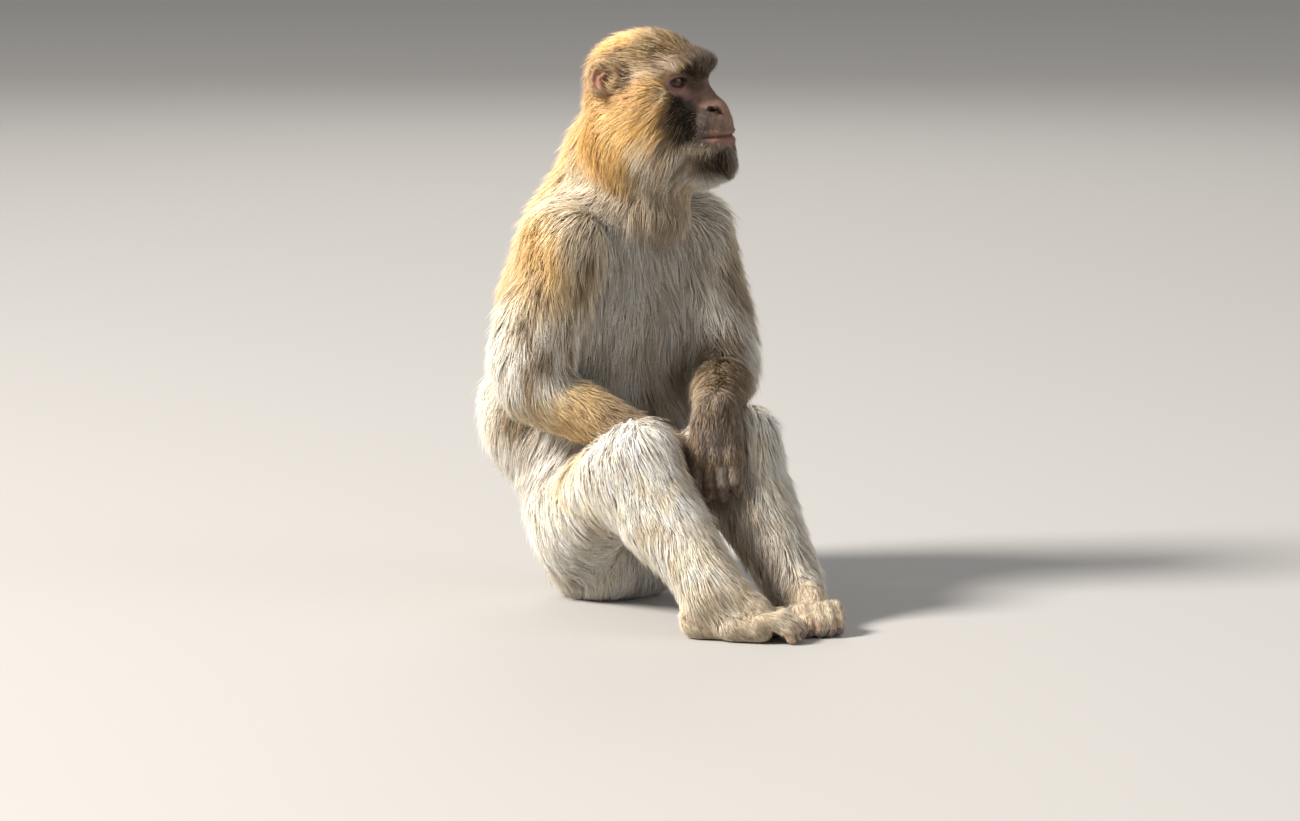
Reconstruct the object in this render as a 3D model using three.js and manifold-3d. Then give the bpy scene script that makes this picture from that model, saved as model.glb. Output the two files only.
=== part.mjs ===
// A life-size Barbary macaque sitting on the floor: chest upright, knees raised, both hands
// hanging between the shins and the head turned to its left.
//
// Millimetres, +Z up. The animal faces -Y and its left side is +X. The origin is on the floor,
// at the centre of the flat that it sits on.
//
// Every part of the body is a group of rounded forms: tapered bones and ellipsoids, with sizes
// taken to the tips of the coat. The forms are blended into one smooth field, the field is
// turned into a faceted surface, and the surface is divided where one part's own forms come
// closer than those of every other part. Hands, feet, ears and tail are whole in themselves and
// are set into the rest.

import * as THREE from "three";
import { mergeVertices } from "three/addons/utils/BufferGeometryUtils.js";
import Module from "manifold-3d";

// ---------------------------------------------------------------- driving dimensions

const GAP = 0.8; // between neighbouring parts
const MARGIN = 9; // how far a part's surface is made past its border before it is cut there
const CELL = 24; // facets of the cuts between the parts
const COARSER = 2.35; // a facet's size over how far the surface may move to save facets
const HIP_HEIGHT = 86;
const HIP_SPREAD = 43; // each hip from the middle plane
const PELVIS_TURN = 10; // degrees that the left hip is carried forward
const THIGH = 173;
const SHANK = 148;
const UPPER_ARM = 140;
const FOREARM = 142;
const SHOULDER_HEIGHT = 346;
const SHOULDER_SPREAD = 76;
const SHOULDER_FORWARD = 36; // of the shoulders, from the seat
const HEAD_HEIGHT = 469; // of the head's middle, level with the tip of the nose
const HEAD_FORWARD = 53;
const HEAD_TURN = 33; // degrees to the animal's left
const EYE_RADIUS = 10.5;

// ---------------------------------------------------------------- directions and places

const rad = THREE.MathUtils.degToRad;
const vec = (x, y, z) => new THREE.Vector3(x, y, z);

// The unit vector that points `turn` degrees to the left of straight ahead and `rise` degrees up.
const aim = (turn, rise) =>
  vec(
    Math.sin(rad(turn)) * Math.cos(rad(rise)),
    -Math.cos(rad(turn)) * Math.cos(rad(rise)),
    Math.sin(rad(rise)),
  );

const from = (start, length, turn, rise) =>
  start.clone().addScaledVector(aim(turn, rise), length);

// A right-handed set of axes: ahead, to the left and up, turned about the vertical.
function frameAt(origin, turn, rise = 0) {
  const ahead = aim(turn, rise);
  const left = aim(turn + 90, 0);
  const up = vec(0, 0, 0).crossVectors(ahead, left);
  const at = (f, l, u) =>
    origin
      .clone()
      .addScaledVector(ahead, f)
      .addScaledVector(left, l)
      .addScaledVector(up, u);
  return { ahead, left, up, at };
}

const SIDES = { right: -1, left: 1 };

const body = frameAt(vec(0, 0, 0), 0);
const pelvis = frameAt(vec(0, -6, HIP_HEIGHT), -PELVIS_TURN);
const shoulders = frameAt(vec(-4, -SHOULDER_FORWARD, SHOULDER_HEIGHT), 6);
const head = frameAt(vec(4, -HEAD_FORWARD, HEAD_HEIGHT), HEAD_TURN);

// Each limb is laid out from its root by bone lengths and by where each bone points: degrees
// to the left of straight ahead, and degrees up. `looseFur` is how far the fur hangs out from
// the lower half of the upper arm.
const POSE = {
  right: {
    thigh: [-8, 24],
    shank: [15.5, -51.5],
    upperArm: [-113, -79],
    forearm: [44, -23],
    hand: [62, -50],
    foot: 45,
    looseFur: [-14, 8, 0],
  },
  left: {
    thigh: [-2, 28],
    shank: [24, -66],
    upperArm: [15, -73],
    forearm: [-35.7, -5.5],
    hand: [-30, -86],
    foot: -12,
    looseFur: [5, 4, 0],
  },
};

function limbsOf(side) {
  const s = SIDES[side];
  const pose = POSE[side];
  const hip = pelvis.at(0, s * HIP_SPREAD, 0);
  const knee = from(hip, THIGH, ...pose.thigh);
  const ankle = from(knee, SHANK, ...pose.shank);
  const shoulder = shoulders.at(0, s * SHOULDER_SPREAD, 0);
  const elbow = from(shoulder, UPPER_ARM, ...pose.upperArm);
  const wrist = from(elbow, FOREARM, ...pose.forearm);
  return { hip, knee, ankle, shoulder, elbow, wrist };
}

// ---------------------------------------------------------------- rounded forms

const clamp = (t) => Math.min(1, Math.max(0, t));

// A bone with round ends whose radius runs from ra to rb.
function bone(a, b, ra, rb = ra) {
  const dx = b.x - a.x;
  const dy = b.y - a.y;
  const dz = b.z - a.z;
  const length2 = dx * dx + dy * dy + dz * dz;
  return (x, y, z) => {
    const px = x - a.x;
    const py = y - a.y;
    const pz = z - a.z;
    const t = clamp((px * dx + py * dy + pz * dz) / length2);
    return (
      Math.hypot(px - t * dx, py - t * dy, pz - t * dz) - ra - t * (rb - ra)
    );
  };
}

// An ellipsoid at (f, l, u) of a frame, with its radii along that frame's axes.
function ball(frame, centre, radii) {
  const c = frame.at(...centre);
  const axes = [frame.ahead, frame.left, frame.up];
  return (x, y, z) => {
    let near = 0;
    let steep = 0;
    axes.forEach((axis, i) => {
      const q =
        ((x - c.x) * axis.x + (y - c.y) * axis.y + (z - c.z) * axis.z) /
        radii[i];
      near += q * q;
      steep += (q * q) / (radii[i] * radii[i]);
    });
    const k = Math.sqrt(near);
    return steep > 0 ? (k * (k - 1)) / Math.sqrt(steep) : -Math.min(...radii);
  };
}

// The lower of two distances, rounded where they meet over about `round` millimetres.
function blend(a, b, round) {
  const h = Math.max(round - Math.abs(a - b), 0) / round;
  return Math.min(a, b) - (h * h * round) / 4;
}

const joined = (forms, round) => (x, y, z) =>
  forms.reduce((d, form) => blend(d, form(x, y, z), round), Infinity);

const hollowed = (field, hollows, round) => (x, y, z) =>
  -hollows.reduce((d, form) => blend(d, form(x, y, z), round), -field(x, y, z));

// ---------------------------------------------------------------- the body's parts

// Each part: its field, the radius that blends it into the rest, the size of its facets and, at
// a wrist or an ankle, the plane that it ends at, as a point and the direction of its own side.
const parts = [];
const part = (name, tone, field, round, step, joint) =>
  parts.push({ name, tone, field, round, step, joint });
const setIn = (name, tone, field, step, joint) =>
  parts.push({ name, tone, field, round: 0, step, joint, setIn: true });

function makeTrunk() {
  part(
    "rump",
    "buff",
    joined(
      [
        ball(body, [-2, 0, 84], [66, 76, 76]),
        ball(body, [2, 0, 34], [58, 60, 42]),
      ],
      30,
    ),
    26,
    19,
  );
  setIn("tail", "buff", bone(body.at(-70, 0, 70), body.at(-86, 0, 52), 11, 8), 6);
  part("belly", "cream", ball(body, [-40, 0, 176], [104, 110, 96]), 30, 20);
  part(
    "chest",
    "buff",
    joined(
      [
        ball(body, [-22, 0, 272], [103, 105, 88]),
        ball(body, [-6, 0, 340], [84, 92, 62]),
      ],
      34,
    ),
    30,
    19,
  );
  part(
    "neck",
    "buff",
    joined(
      [
        bone(body.at(-2, 0, 372), body.at(26, 2, 436), 74, 58),
        bone(head.at(38, 0, -96), head.at(46, 0, -62), 40, 30), // throat
      ],
      26,
    ),
    24,
    17,
  );
}

// The head's own axes start level with the tip of the nose, between the cheeks.
function makeHead() {
  const both = (make) => Object.values(SIDES).map(make);
  const skull = joined(
    [
      ball(head, [-2, 0, 18], [57, 56, 60]),
      ball(head, [22, 0, 32], [42, 48, 38]), // forehead
      bone(head.at(52, -21, 35), head.at(52, 21, 35), 14), // brow ridge
      ball(head, [-28, 0, -24], [40, 50, 44]), // nape
      ...both((s) => ball(head, [8, s * 38, -18], [44, 33, 44])), // cheek ruff
      ...both((s) => bone(head.at(2, s * 34, -42), head.at(42, s * 20, -62), 30, 20)),
    ],
    16,
  );
  const muzzle = joined(
    [
      bone(head.at(38, 0, -14), head.at(64, 0, -22), 30, 23),
      bone(head.at(57, 0, 20), head.at(74, 0, 2), 9, 7), // bridge of the nose
      bone(head.at(72, -6, -4), head.at(72, 6, -4), 8), // wings of the nose
      bone(head.at(78, -7, -22), head.at(78, 7, -22), 15), // upper lip
      bone(head.at(76, -7, -38), head.at(76, 7, -38), 14), // lower lip
      bone(head.at(81, 0, -57), head.at(58, 0, -62), 17, 24), // chin and beard
      ...both((s) => bone(head.at(74, s * 9, -42), head.at(34, s * 24, -44), 16, 24)),
    ],
    9,
  );
  const sockets = both((s) => ball(head, [62, s * 24, 22], [24, 18, 13]));
  const field = hollowed(joined([skull, muzzle], 12), sockets, 6);
  part("head", "gold", field, 12, 9.5);
  for (const [side, s] of Object.entries(SIDES)) {
    const ear = frameAt(head.at(-15, s * 58, 29), HEAD_TURN - s * 28);
    setIn(
      `ear_${side}`,
      "gold",
      hollowed(
        ball(ear, [0, s * 2, 0], [15, 7, 17]),
        [ball(ear, [3, s * 10, 1], [8, 5, 10])],
        3,
      ),
      5,
    );
  }
}

// Half way between the ways that the forearm and the hand point.
const wristWay = (side) =>
  aim(...POSE[side].forearm)
    .add(aim(...POSE[side].hand))
    .normalize();

function makeArm(side) {
  const { shoulder, elbow, wrist } = limbsOf(side);
  const loose = (t) => shoulder.clone().lerp(elbow, t).add(vec(...POSE[side].looseFur));
  const arm = joined([bone(shoulder, elbow, 42, 29), bone(loose(0.5), loose(0.82), 36)], 20);
  part(`upper_arm_${side}`, "buff", arm, 18, 15);
  const joint = { at: wrist, side: wristWay(side).negate() };
  part(`forearm_${side}`, "buff", bone(elbow, wrist, 31, 22), 8, 13, joint);
}

// A hand or foot digit: three bones, each bent further than the last.
function digit(start, lengths, turn, rise, bend, radius) {
  const forms = [];
  let tip = start;
  lengths.forEach((length, i) => {
    const next = from(tip, length, turn, rise - i * bend);
    forms.push(bone(tip, next, radius - 0.6 * i, radius - 0.6 * (i + 1)));
    tip = next;
  });
  return forms;
}

// The hands hang with their backs towards the front and the right.
const HAND_TURN = -38;
const FINGERS = [
  { spread: -18, reach: 0.94 },
  { spread: -6, reach: 1 },
  { spread: 6, reach: 1 },
  { spread: 18, reach: 0.84 },
];

function makeHand(side, { curl, lift }) {
  const s = SIDES[side];
  const { wrist } = limbsOf(side);
  const [turn, rise] = POSE[side].hand;
  const down = aim(turn, rise);
  const across = aim(HAND_TURN + 90, 0);
  const at = (along, side_, out = 0) =>
    wrist
      .clone()
      .addScaledVector(down, along)
      .addScaledVector(across, side_)
      .addScaledVector(aim(HAND_TURN, 0), out);
  const forms = [
    bone(wrist, at(20, 0), 19, 17),
    bone(at(14, -10), at(44, -15), 14, 11.5),
    bone(at(14, 10), at(44, 15), 14, 11.5),
  ];
  for (const { spread, reach } of FINGERS) {
    let tip = at(44, spread, 1);
    [24, 16, 11].forEach((length, i) => {
      const bent = rad(lift - curl * i);
      const next = tip
        .clone()
        .addScaledVector(down, length * reach * Math.cos(bent))
        .addScaledVector(aim(HAND_TURN, 0), length * reach * Math.sin(bent));
      forms.push(bone(tip, next, 8 - 0.5 * i, 7.5 - 0.5 * i));
      tip = next;
    });
  }
  // The thumb lies on the inner side, towards the other hand.
  const inner = -s;
  forms.push(bone(at(14, inner * 13, -3), at(38, inner * 24, -4), 9, 7.5));
  forms.push(bone(at(38, inner * 24, -4), at(56, inner * 23, -8), 7.5, 6));
  const joint = { at: wrist, side: wristWay(side) };
  setIn(`hand_${side}`, "skin", joined(forms, 3), 6.5, joint);
}

// A plane across the shank, a little above the ankle.
const ankleJoint = (side, way) => {
  const down = aim(...POSE[side].shank);
  const at = limbsOf(side).ankle.addScaledVector(down, -10);
  return { at, side: down.multiplyScalar(way) };
};

function makeLeg(side) {
  const s = SIDES[side];
  const { hip, knee, ankle } = limbsOf(side);
  // The thigh is deep and narrow: a second bone runs below the first, along the hamstrings.
  const under = hip.clone().add(vec(0, -12, -32));
  const bend = knee.clone().add(vec(s * 2, 34, -26));
  part(
    `thigh_${side}`,
    "cream",
    joined([bone(hip, knee, 44, 34), bone(under, bend, 37, 34)], 22),
    16,
    17,
  );
  const calf = knee.clone().lerp(ankle, 0.42).add(vec(0, 20, -8));
  part(
    `shin_${side}`,
    "cream",
    joined(
      [bone(knee, ankle, 33, 25), bone(bend, calf, 30, 36), bone(calf, ankle, 36, 27)],
      16,
    ),
    10,
    14,
    ankleJoint(side, -1),
  );
}

const TOES = [
  { spread: -15, reach: 0.86 },
  { spread: -5, reach: 1 },
  { spread: 5.5, reach: 1 },
  { spread: 15.5, reach: 0.88 },
];

function makeFoot(side) {
  const s = SIDES[side];
  const { ankle } = limbsOf(side);
  const turn = POSE[side].foot;
  const sole = frameAt(vec(ankle.x, ankle.y, 0), turn);
  const forms = [
    bone(ankle, sole.at(-14, 0, 18), 25, 20), // heel
    bone(sole.at(-16, 0, 17), sole.at(26, 0, 17), 20, 18),
    bone(ankle, sole.at(36, 0, 30), 24, 20), // instep
    bone(sole.at(18, -8, 16), sole.at(42, -10, 15), 17, 15),
    bone(sole.at(18, 8, 16), sole.at(42, 10, 15), 17, 15),
  ];
  for (const { spread, reach } of TOES)
    forms.push(
      ...digit(
        sole.at(44, s * spread, 22),
        [17 * reach, 13 * reach, 9 * reach],
        turn - s * spread * 0.25,
        -8,
        38,
        9.5,
      ),
    );
  // The great toe stands off the inner edge.
  forms.push(bone(sole.at(12, -s * 12, 14), sole.at(34, -s * 24, 12), 12, 9.5));
  forms.push(bone(sole.at(34, -s * 24, 12), sole.at(50, -s * 24, 8), 9.5, 8));
  setIn(`foot_${side}`, "skin", joined(forms, 4), 7.5, ankleJoint(side, 1));
}

makeTrunk();
makeHead();
for (const side of Object.keys(SIDES)) {
  makeArm(side);
  makeLeg(side);
  makeFoot(side);
}
makeHand("right", { curl: 12, lift: -4 });
makeHand("left", { curl: 56, lift: 8 });

const blended = parts.filter((p) => !p.setIn);
const whole = (x, y, z) =>
  blended.reduce((d, p) => blend(d, p.field(x, y, z), p.round), Infinity);

// Below zero where this part's own forms are nearer than every other part's.
const territory = (own) => (x, y, z) =>
  own.field(x, y, z) -
  blended.reduce(
    (d, p) => (p === own ? d : Math.min(d, p.field(x, y, z))),
    Infinity,
  );

// ---------------------------------------------------------------- field to surface

// Surface nets: in each cell, one vertex for each connected group of corners inside, at the mean
// of its crossings; across each grid edge whose ends lie on different sides, one quad.
const CORNERS = [...Array(8).keys()].map((c) => [c & 1, (c >> 1) & 1, c >> 2]);

// The corners of a cell that are joined through inside corners, as one bit mask for each group.
function groupsOf(at) {
  const groups = [];
  for (let c = 0; c < 8; c++) {
    if (at[c] >= 0 || groups.some((mask) => mask & (1 << c))) continue;
    let mask = 1 << c;
    for (let pass = 0; pass < 4; pass++)
      for (let q = 0; q < 8; q++)
        if (mask & (1 << q))
          for (const bit of [1, 2, 4])
            if (at[q ^ bit] < 0) mask |= 1 << (q ^ bit);
    groups.push(mask);
  }
  return groups;
}

function surfaceOf(field, box, step) {
  const n = [0, 1, 2].map(
    (i) => Math.ceil((box.max.getComponent(i) - box.min.getComponent(i)) / step) + 4,
  );
  const low = box.min.clone().divideScalar(step).floor().subScalar(1).multiplyScalar(step);
  const place = (i, j, k) => (k * n[1] + j) * n[0] + i;
  const values = new Float64Array(n[0] * n[1] * n[2]);
  for (let k = 0; k < n[2]; k++)
    for (let j = 0; j < n[1]; j++)
      for (let i = 0; i < n[0]; i++) {
        const rim =
          !i || !j || !k || i === n[0] - 1 || j === n[1] - 1 || k === n[2] - 1;
        const d = field(low.x + i * step, low.y + j * step, low.z + k * step);
        values[place(i, j, k)] = rim ? Math.max(d, step / 2) : d || 1e-6;
      }
  const points = [];
  const vertexAt = new Int32Array(values.length * 8);
  for (let k = 0; k < n[2] - 1; k++)
    for (let j = 0; j < n[1] - 1; j++)
      for (let i = 0; i < n[0] - 1; i++) {
        const at = CORNERS.map(([x, y, z]) => values[place(i + x, j + y, k + z)]);
        if (at.every((d) => d < 0) || at.every((d) => d >= 0)) continue;
        for (const mask of groupsOf(at)) {
          const sum = [0, 0, 0];
          let crossings = 0;
          for (let c = 0; c < 8; c++) {
            if (!(mask & (1 << c))) continue;
            vertexAt[place(i, j, k) * 8 + c] = points.length / 3;
            for (const bit of [1, 2, 4]) {
              const q = c ^ bit;
              if (at[q] < 0) continue;
              const t = at[c] / (at[c] - at[q]);
              for (let e = 0; e < 3; e++)
                sum[e] += CORNERS[c][e] + t * (CORNERS[q][e] - CORNERS[c][e]);
              crossings++;
            }
          }
          points.push(
            low.x + (i + sum[0] / crossings) * step,
            low.y + (j + sum[1] / crossings) * step,
            low.z + (k + sum[2] / crossings) * step,
          );
        }
      }
  const stride = [1, n[0], n[0] * n[1]];
  const triangles = [];
  for (let k = 0; k < n[2] - 1; k++)
    for (let j = 0; j < n[1] - 1; j++)
      for (let i = 0; i < n[0] - 1; i++) {
        const here = place(i, j, k);
        const inside = values[here] < 0;
        for (let axis = 0; axis < 3; axis++) {
          if (inside === values[here + stride[axis]] < 0) continue;
          const [a1, a2] = [(axis + 1) % 3, (axis + 2) % 3];
          const along = inside ? 0 : 1 << axis;
          const vertex = (u, v) =>
            vertexAt[
              (here - u * stride[a1] - v * stride[a2]) * 8 +
                (along | (u << a1) | (v << a2))
            ];
          const [p, q] = inside
            ? [vertex(0, 1), vertex(1, 0)]
            : [vertex(1, 0), vertex(0, 1)];
          triangles.push(vertex(1, 1), p, vertex(0, 0));
          triangles.push(vertex(1, 1), vertex(0, 0), q);
        }
      }
  const geometry = new THREE.BufferGeometry();
  geometry.setAttribute("position", new THREE.Float32BufferAttribute(points, 3));
  geometry.setIndex(triangles);
  return geometry;
}

// The box that a part's surface needs, found on a coarse grid.
function reachOf(own) {
  const coarse = 12;
  const box = new THREE.Box3();
  for (let x = -220; x <= 220; x += coarse)
    for (let y = -440; y <= 150; y += coarse)
      for (let z = -30; z <= 610; z += coarse)
        if (own.field(x, y, z) < Math.max(own.round, 8)) box.expandByPoint(vec(x, y, z));
  return box.expandByScalar(coarse);
}

// ---------------------------------------------------------------- fewer facets

// A plane's quadric: ten sums that give the squared distance of any point from it.
function planeQuadric(a, b, c) {
  const n = b.clone().sub(a).cross(c.clone().sub(a)).normalize();
  const d = -n.dot(a);
  return [
    n.x * n.x, n.x * n.y, n.x * n.z, n.x * d, n.y * n.y,
    n.y * n.z, n.y * d, n.z * n.z, n.z * d, d * d,
  ];
}

const quadricAt = (q, { x, y, z }) =>
  q[0] * x * x + q[4] * y * y + q[7] * z * z + q[9] +
  2 * (q[1] * x * y + q[2] * x * z + q[5] * y * z + q[3] * x + q[6] * y + q[8] * z);

// Joins neighbouring vertices for as long as the new one stays within `tolerance` of every plane
// that met at the old ones. A pair is left when joining it would fold the surface over.
function simplified(geometry, tolerance) {
  const { position } = geometry.attributes;
  const points = [...Array(position.count).keys()].map((i) =>
    vec().fromBufferAttribute(position, i),
  );
  let faces = [];
  for (let i = 0; i < geometry.index.count; i += 3)
    faces.push([0, 1, 2].map((c) => geometry.index.getX(i + c)));
  const quadrics = points.map(() => new Array(10).fill(0));
  for (const face of faces) {
    const plane = planeQuadric(...face.map((v) => points[v]));
    if (plane.every(Number.isFinite))
      for (const v of face) plane.forEach((value, i) => (quadrics[v][i] += value));
  }
  for (let joinedSome = true; joinedSome; ) {
    joinedSome = false;
    const around = points.map(() => []);
    faces.forEach((face, f) => face.forEach((v) => around[v].push(f)));
    const ring = (v) => new Set(around[v].flatMap((f) => faces[f]).filter((w) => w !== v));
    const pairs = [];
    for (const face of faces)
      for (let i = 0; i < 3; i++) {
        const [a, b] = [face[i], face[(i + 1) % 3]];
        if (a > b) continue;
        const sum = quadrics[a].map((value, k) => value + quadrics[b][k]);
        const middle = points[a].clone().lerp(points[b], 0.5);
        const [cost, at] = [points[a], points[b], middle]
          .map((point) => [quadricAt(sum, point), point])
          .reduce((least, next) => (next[0] < least[0] ? next : least));
        if (cost <= tolerance * tolerance) pairs.push({ a, b, sum, cost, at });
      }
    pairs.sort((p, q) => p.cost - q.cost);
    const touched = new Set();
    for (const { a, b, sum, at } of pairs) {
      if (touched.has(a) || touched.has(b)) continue;
      const [ringA, ringB] = [ring(a), ring(b)];
      if ([...ringA].filter((v) => ringB.has(v)).length !== 2) continue;
      const moved = (v) => (v === a || v === b ? at : points[v]);
      const folds = [...around[a], ...around[b]].some((f) => {
        const face = faces[f];
        if (face.includes(a) && face.includes(b)) return false;
        const before = new THREE.Triangle(...face.map((v) => points[v]));
        const after = new THREE.Triangle(...face.map(moved));
        return (
          after.getArea() < 1e-3 ||
          before.getNormal(vec()).dot(after.getNormal(vec())) < 0.6
        );
      });
      if (folds) continue;
      for (const v of [...ringA, ...ringB]) touched.add(v);
      for (const f of around[a]) faces[f] = faces[f].map((v) => (v === a ? b : v));
      points[b] = at.clone();
      quadrics[b] = sum;
      joinedSome = true;
    }
    faces = faces.filter(([a, b, c]) => a !== b && b !== c && c !== a);
  }
  const result = new THREE.BufferGeometry();
  const flat = faces.flatMap((face) => face.flatMap((v) => points[v].toArray()));
  result.setAttribute("position", new THREE.Float32BufferAttribute(flat, 3));
  return mergeVertices(result, 1e-5);
}

// ---------------------------------------------------------------- solids

const wasm = await Module();
wasm.setup();

function solid(geometry) {
  const bare = geometry.clone();
  for (const name of ["normal", "uv"]) bare.deleteAttribute(name);
  const merged = mergeVertices(bare, 1e-4);
  return new wasm.Manifold(
    new wasm.Mesh({
      numProp: 3,
      vertProperties: merged.attributes.position.array,
      triVerts: new Uint32Array(merged.index.array),
    }),
  );
}

function geometryOf(made) {
  const { vertProperties, triVerts, numProp } = made.getMesh();
  const count = vertProperties.length / numProp;
  const places = new Float32Array(count * 3);
  for (let i = 0; i < count; i++)
    places.set(vertProperties.subarray(i * numProp, i * numProp + 3), i * 3);
  const geometry = new THREE.BufferGeometry();
  geometry.setAttribute("position", new THREE.BufferAttribute(places, 3));
  geometry.setIndex(new THREE.BufferAttribute(triVerts, 1));
  geometry.computeVertexNormals();
  return geometry;
}

// The largest piece of a cut solid: slivers that a cut leaves are dropped.
const mainPiece = (made) =>
  made.decompose().reduce((a, b) => (b.volume() > a.volume() ? b : a));

const floor = solid(
  new THREE.BoxGeometry(1200, 1200, 200).translate(0, 0, -100),
);

const eyes = Object.entries(SIDES).map(([side, s]) => {
  const centre = head.at(37, s * 19.5, 26);
  const sphere = (radius) =>
    new THREE.SphereGeometry(radius, 12, 7).translate(...centre.toArray());
  return { name: `eye_${side}`, ball: sphere(EYE_RADIUS), bed: solid(sphere(EYE_RADIUS + GAP)) };
});

const TONES = {
  buff: { color: 0xc79f66, roughness: 0.85 },
  cream: { color: 0xd9cbb2, roughness: 0.85 },
  gold: { color: 0xc8944f, roughness: 0.85 },
  skin: { color: 0x7d6a55, roughness: 0.7 },
  eye: { color: 0x2a1409, roughness: 0.1 },
};

const macaque = new THREE.Group();
macaque.name = "barbary_macaque";

function show(name, tone, geometry) {
  const material = new THREE.MeshStandardMaterial({ ...TONES[tone], metalness: 0 });
  const mesh = new THREE.Mesh(geometry, material);
  mesh.name = name;
  macaque.add(mesh);
}

// The part of a solid that lies on its own side of its joint's plane, at a distance from it.
function onOwnSide(made, { joint }, distance) {
  if (!joint) return made;
  const turn = new THREE.Quaternion().setFromUnitVectors(vec(0, 0, 1), joint.side);
  const block = new THREE.BoxGeometry(800, 800, 800)
    .translate(0, 0, 400 + distance)
    .applyQuaternion(turn)
    .translate(...joint.at.toArray());
  return made.intersect(solid(block));
}

const finished = [];

// Parts that are set in another one are whole in themselves, and lie in a pocket of it.
const pockets = [];
for (const p of parts.filter((p) => p.setIn)) {
  const box = reachOf(p);
  const grown = (x, y, z) => p.field(x, y, z) - 1.5 * GAP;
  const skin = solid(simplified(surfaceOf(p.field, box, p.step), p.step / COARSER));
  const around = solid(simplified(surfaceOf(grown, box, p.step), GAP));
  const made = onOwnSide(skin, p, GAP / 2).subtract(floor);
  finished.push(made);
  pockets.push(onOwnSide(around, p, -GAP / 2));
  show(p.name, p.tone, geometryOf(made));
}
for (const eye of eyes) pockets.push(eye.bed);

// What is left of a solid when every other solid that reaches into it has been taken away.
const clearOf = (made, others) =>
  others.reduce(
    (rest, other) =>
      rest.intersect(other).volume() > 1e-3 ? rest.subtract(other) : rest,
    made,
  );

const guards = []; // the borders of the parts made so far, grown by most of the gap
for (const p of parts.filter((p) => !p.setIn)) {
  const border = territory(p);
  const box = reachOf(p);
  const rough = (x, y, z) => Math.max(whole(x, y, z), border(x, y, z) - MARGIN);
  const cell = solid(surfaceOf((x, y, z) => border(x, y, z) + GAP, box, CELL));
  const skin = simplified(surfaceOf(rough, box, p.step), p.step / COARSER);
  const own = onOwnSide(solid(skin).intersect(cell), p, GAP / 2);
  const cut = clearOf(own, [...guards, ...pockets]);
  const coarse = solid(simplified(geometryOf(mainPiece(cut)), GAP / 2.5));
  const made = clearOf(coarse, [...guards, ...finished]).subtract(floor);
  finished.push(made);
  guards.push(solid(surfaceOf((x, y, z) => border(x, y, z) - 0.6 * GAP, box, CELL)));
  show(p.name, p.tone, geometryOf(mainPiece(made)));
}
for (const eye of eyes) show(eye.name, "eye", eye.ball);

export default macaque;
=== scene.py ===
"""A life-size Barbary macaque, sitting: its skin, coat, eyes and nails.

Lengths in the body's own forms are millimetres, and become metres where a mesh is made. The
animal faces -Y, its left side is +X and +Z is up.
"""

import math

import bpy
import numpy as np
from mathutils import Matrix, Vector, kdtree


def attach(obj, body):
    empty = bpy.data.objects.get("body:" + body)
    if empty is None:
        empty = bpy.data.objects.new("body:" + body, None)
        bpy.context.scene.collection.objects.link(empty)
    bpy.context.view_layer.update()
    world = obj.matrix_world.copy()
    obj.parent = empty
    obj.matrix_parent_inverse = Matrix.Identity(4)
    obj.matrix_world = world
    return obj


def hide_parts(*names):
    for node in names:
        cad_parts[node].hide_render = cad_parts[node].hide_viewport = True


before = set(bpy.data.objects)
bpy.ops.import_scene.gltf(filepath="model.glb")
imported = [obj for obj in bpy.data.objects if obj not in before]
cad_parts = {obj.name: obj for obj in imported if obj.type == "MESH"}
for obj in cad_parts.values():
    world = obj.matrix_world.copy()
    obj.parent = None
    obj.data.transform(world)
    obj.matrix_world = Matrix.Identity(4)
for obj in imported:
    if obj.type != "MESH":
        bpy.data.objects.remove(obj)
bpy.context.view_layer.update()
rng = np.random.default_rng(20261124)

# ---- directions and places

SIDES = {"right": -1, "left": 1}


def vec(*numbers):
    return np.array(numbers, dtype=float)


def unit(v):
    return v / np.maximum(np.linalg.norm(v, axis=-1, keepdims=True), 1e-9)


def dots(a, b):
    """Each row of a times the same row of b."""
    return np.einsum("ij,ij->i", a, b)


def between(a, b, t):
    return a + (b - a) * t


def bell(x, width):
    return np.exp(-((x / width) ** 2))


def step(x, low, high):
    """A smooth rise from 0 at low to 1 at high."""
    t = np.clip((x - low) / (high - low), 0, 1)
    return t * t * (3 - 2 * t)


def fade(x, low, high):
    return 1 - step(x, low, high)


def aim(turn, rise=0.0):
    """Turned to the left of straight ahead, and up, in degrees."""
    t, r = math.radians(turn), math.radians(rise)
    return vec(math.sin(t) * math.cos(r), -math.cos(t) * math.cos(r), math.sin(r))


class Axes:
    """Axes ahead, to the left and up, at a place."""

    def __init__(self, origin, turn, rise=0.0):
        self.origin = origin
        self.ahead = aim(turn, rise)
        self.left = aim(turn + 90)
        self.up = np.cross(self.ahead, self.left)
        self.rows = np.stack([self.ahead, self.left, self.up])

    def at(self, f, l, u):
        return self.origin + f * self.ahead + l * self.left + u * self.up

    def inside(self, points):
        return (points - self.origin) @ self.rows.T


body = Axes(vec(0, 0, 0), 0)
pelvis = Axes(vec(0, -6, 86), -10)
shoulders = Axes(vec(-4, -36, 346), 6)
HEAD_TURN = 33
head = Axes(vec(4, -53, 469), HEAD_TURN)

THIGH, SHANK, UPPER_ARM, FOREARM = 173, 148, 140, 142
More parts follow.
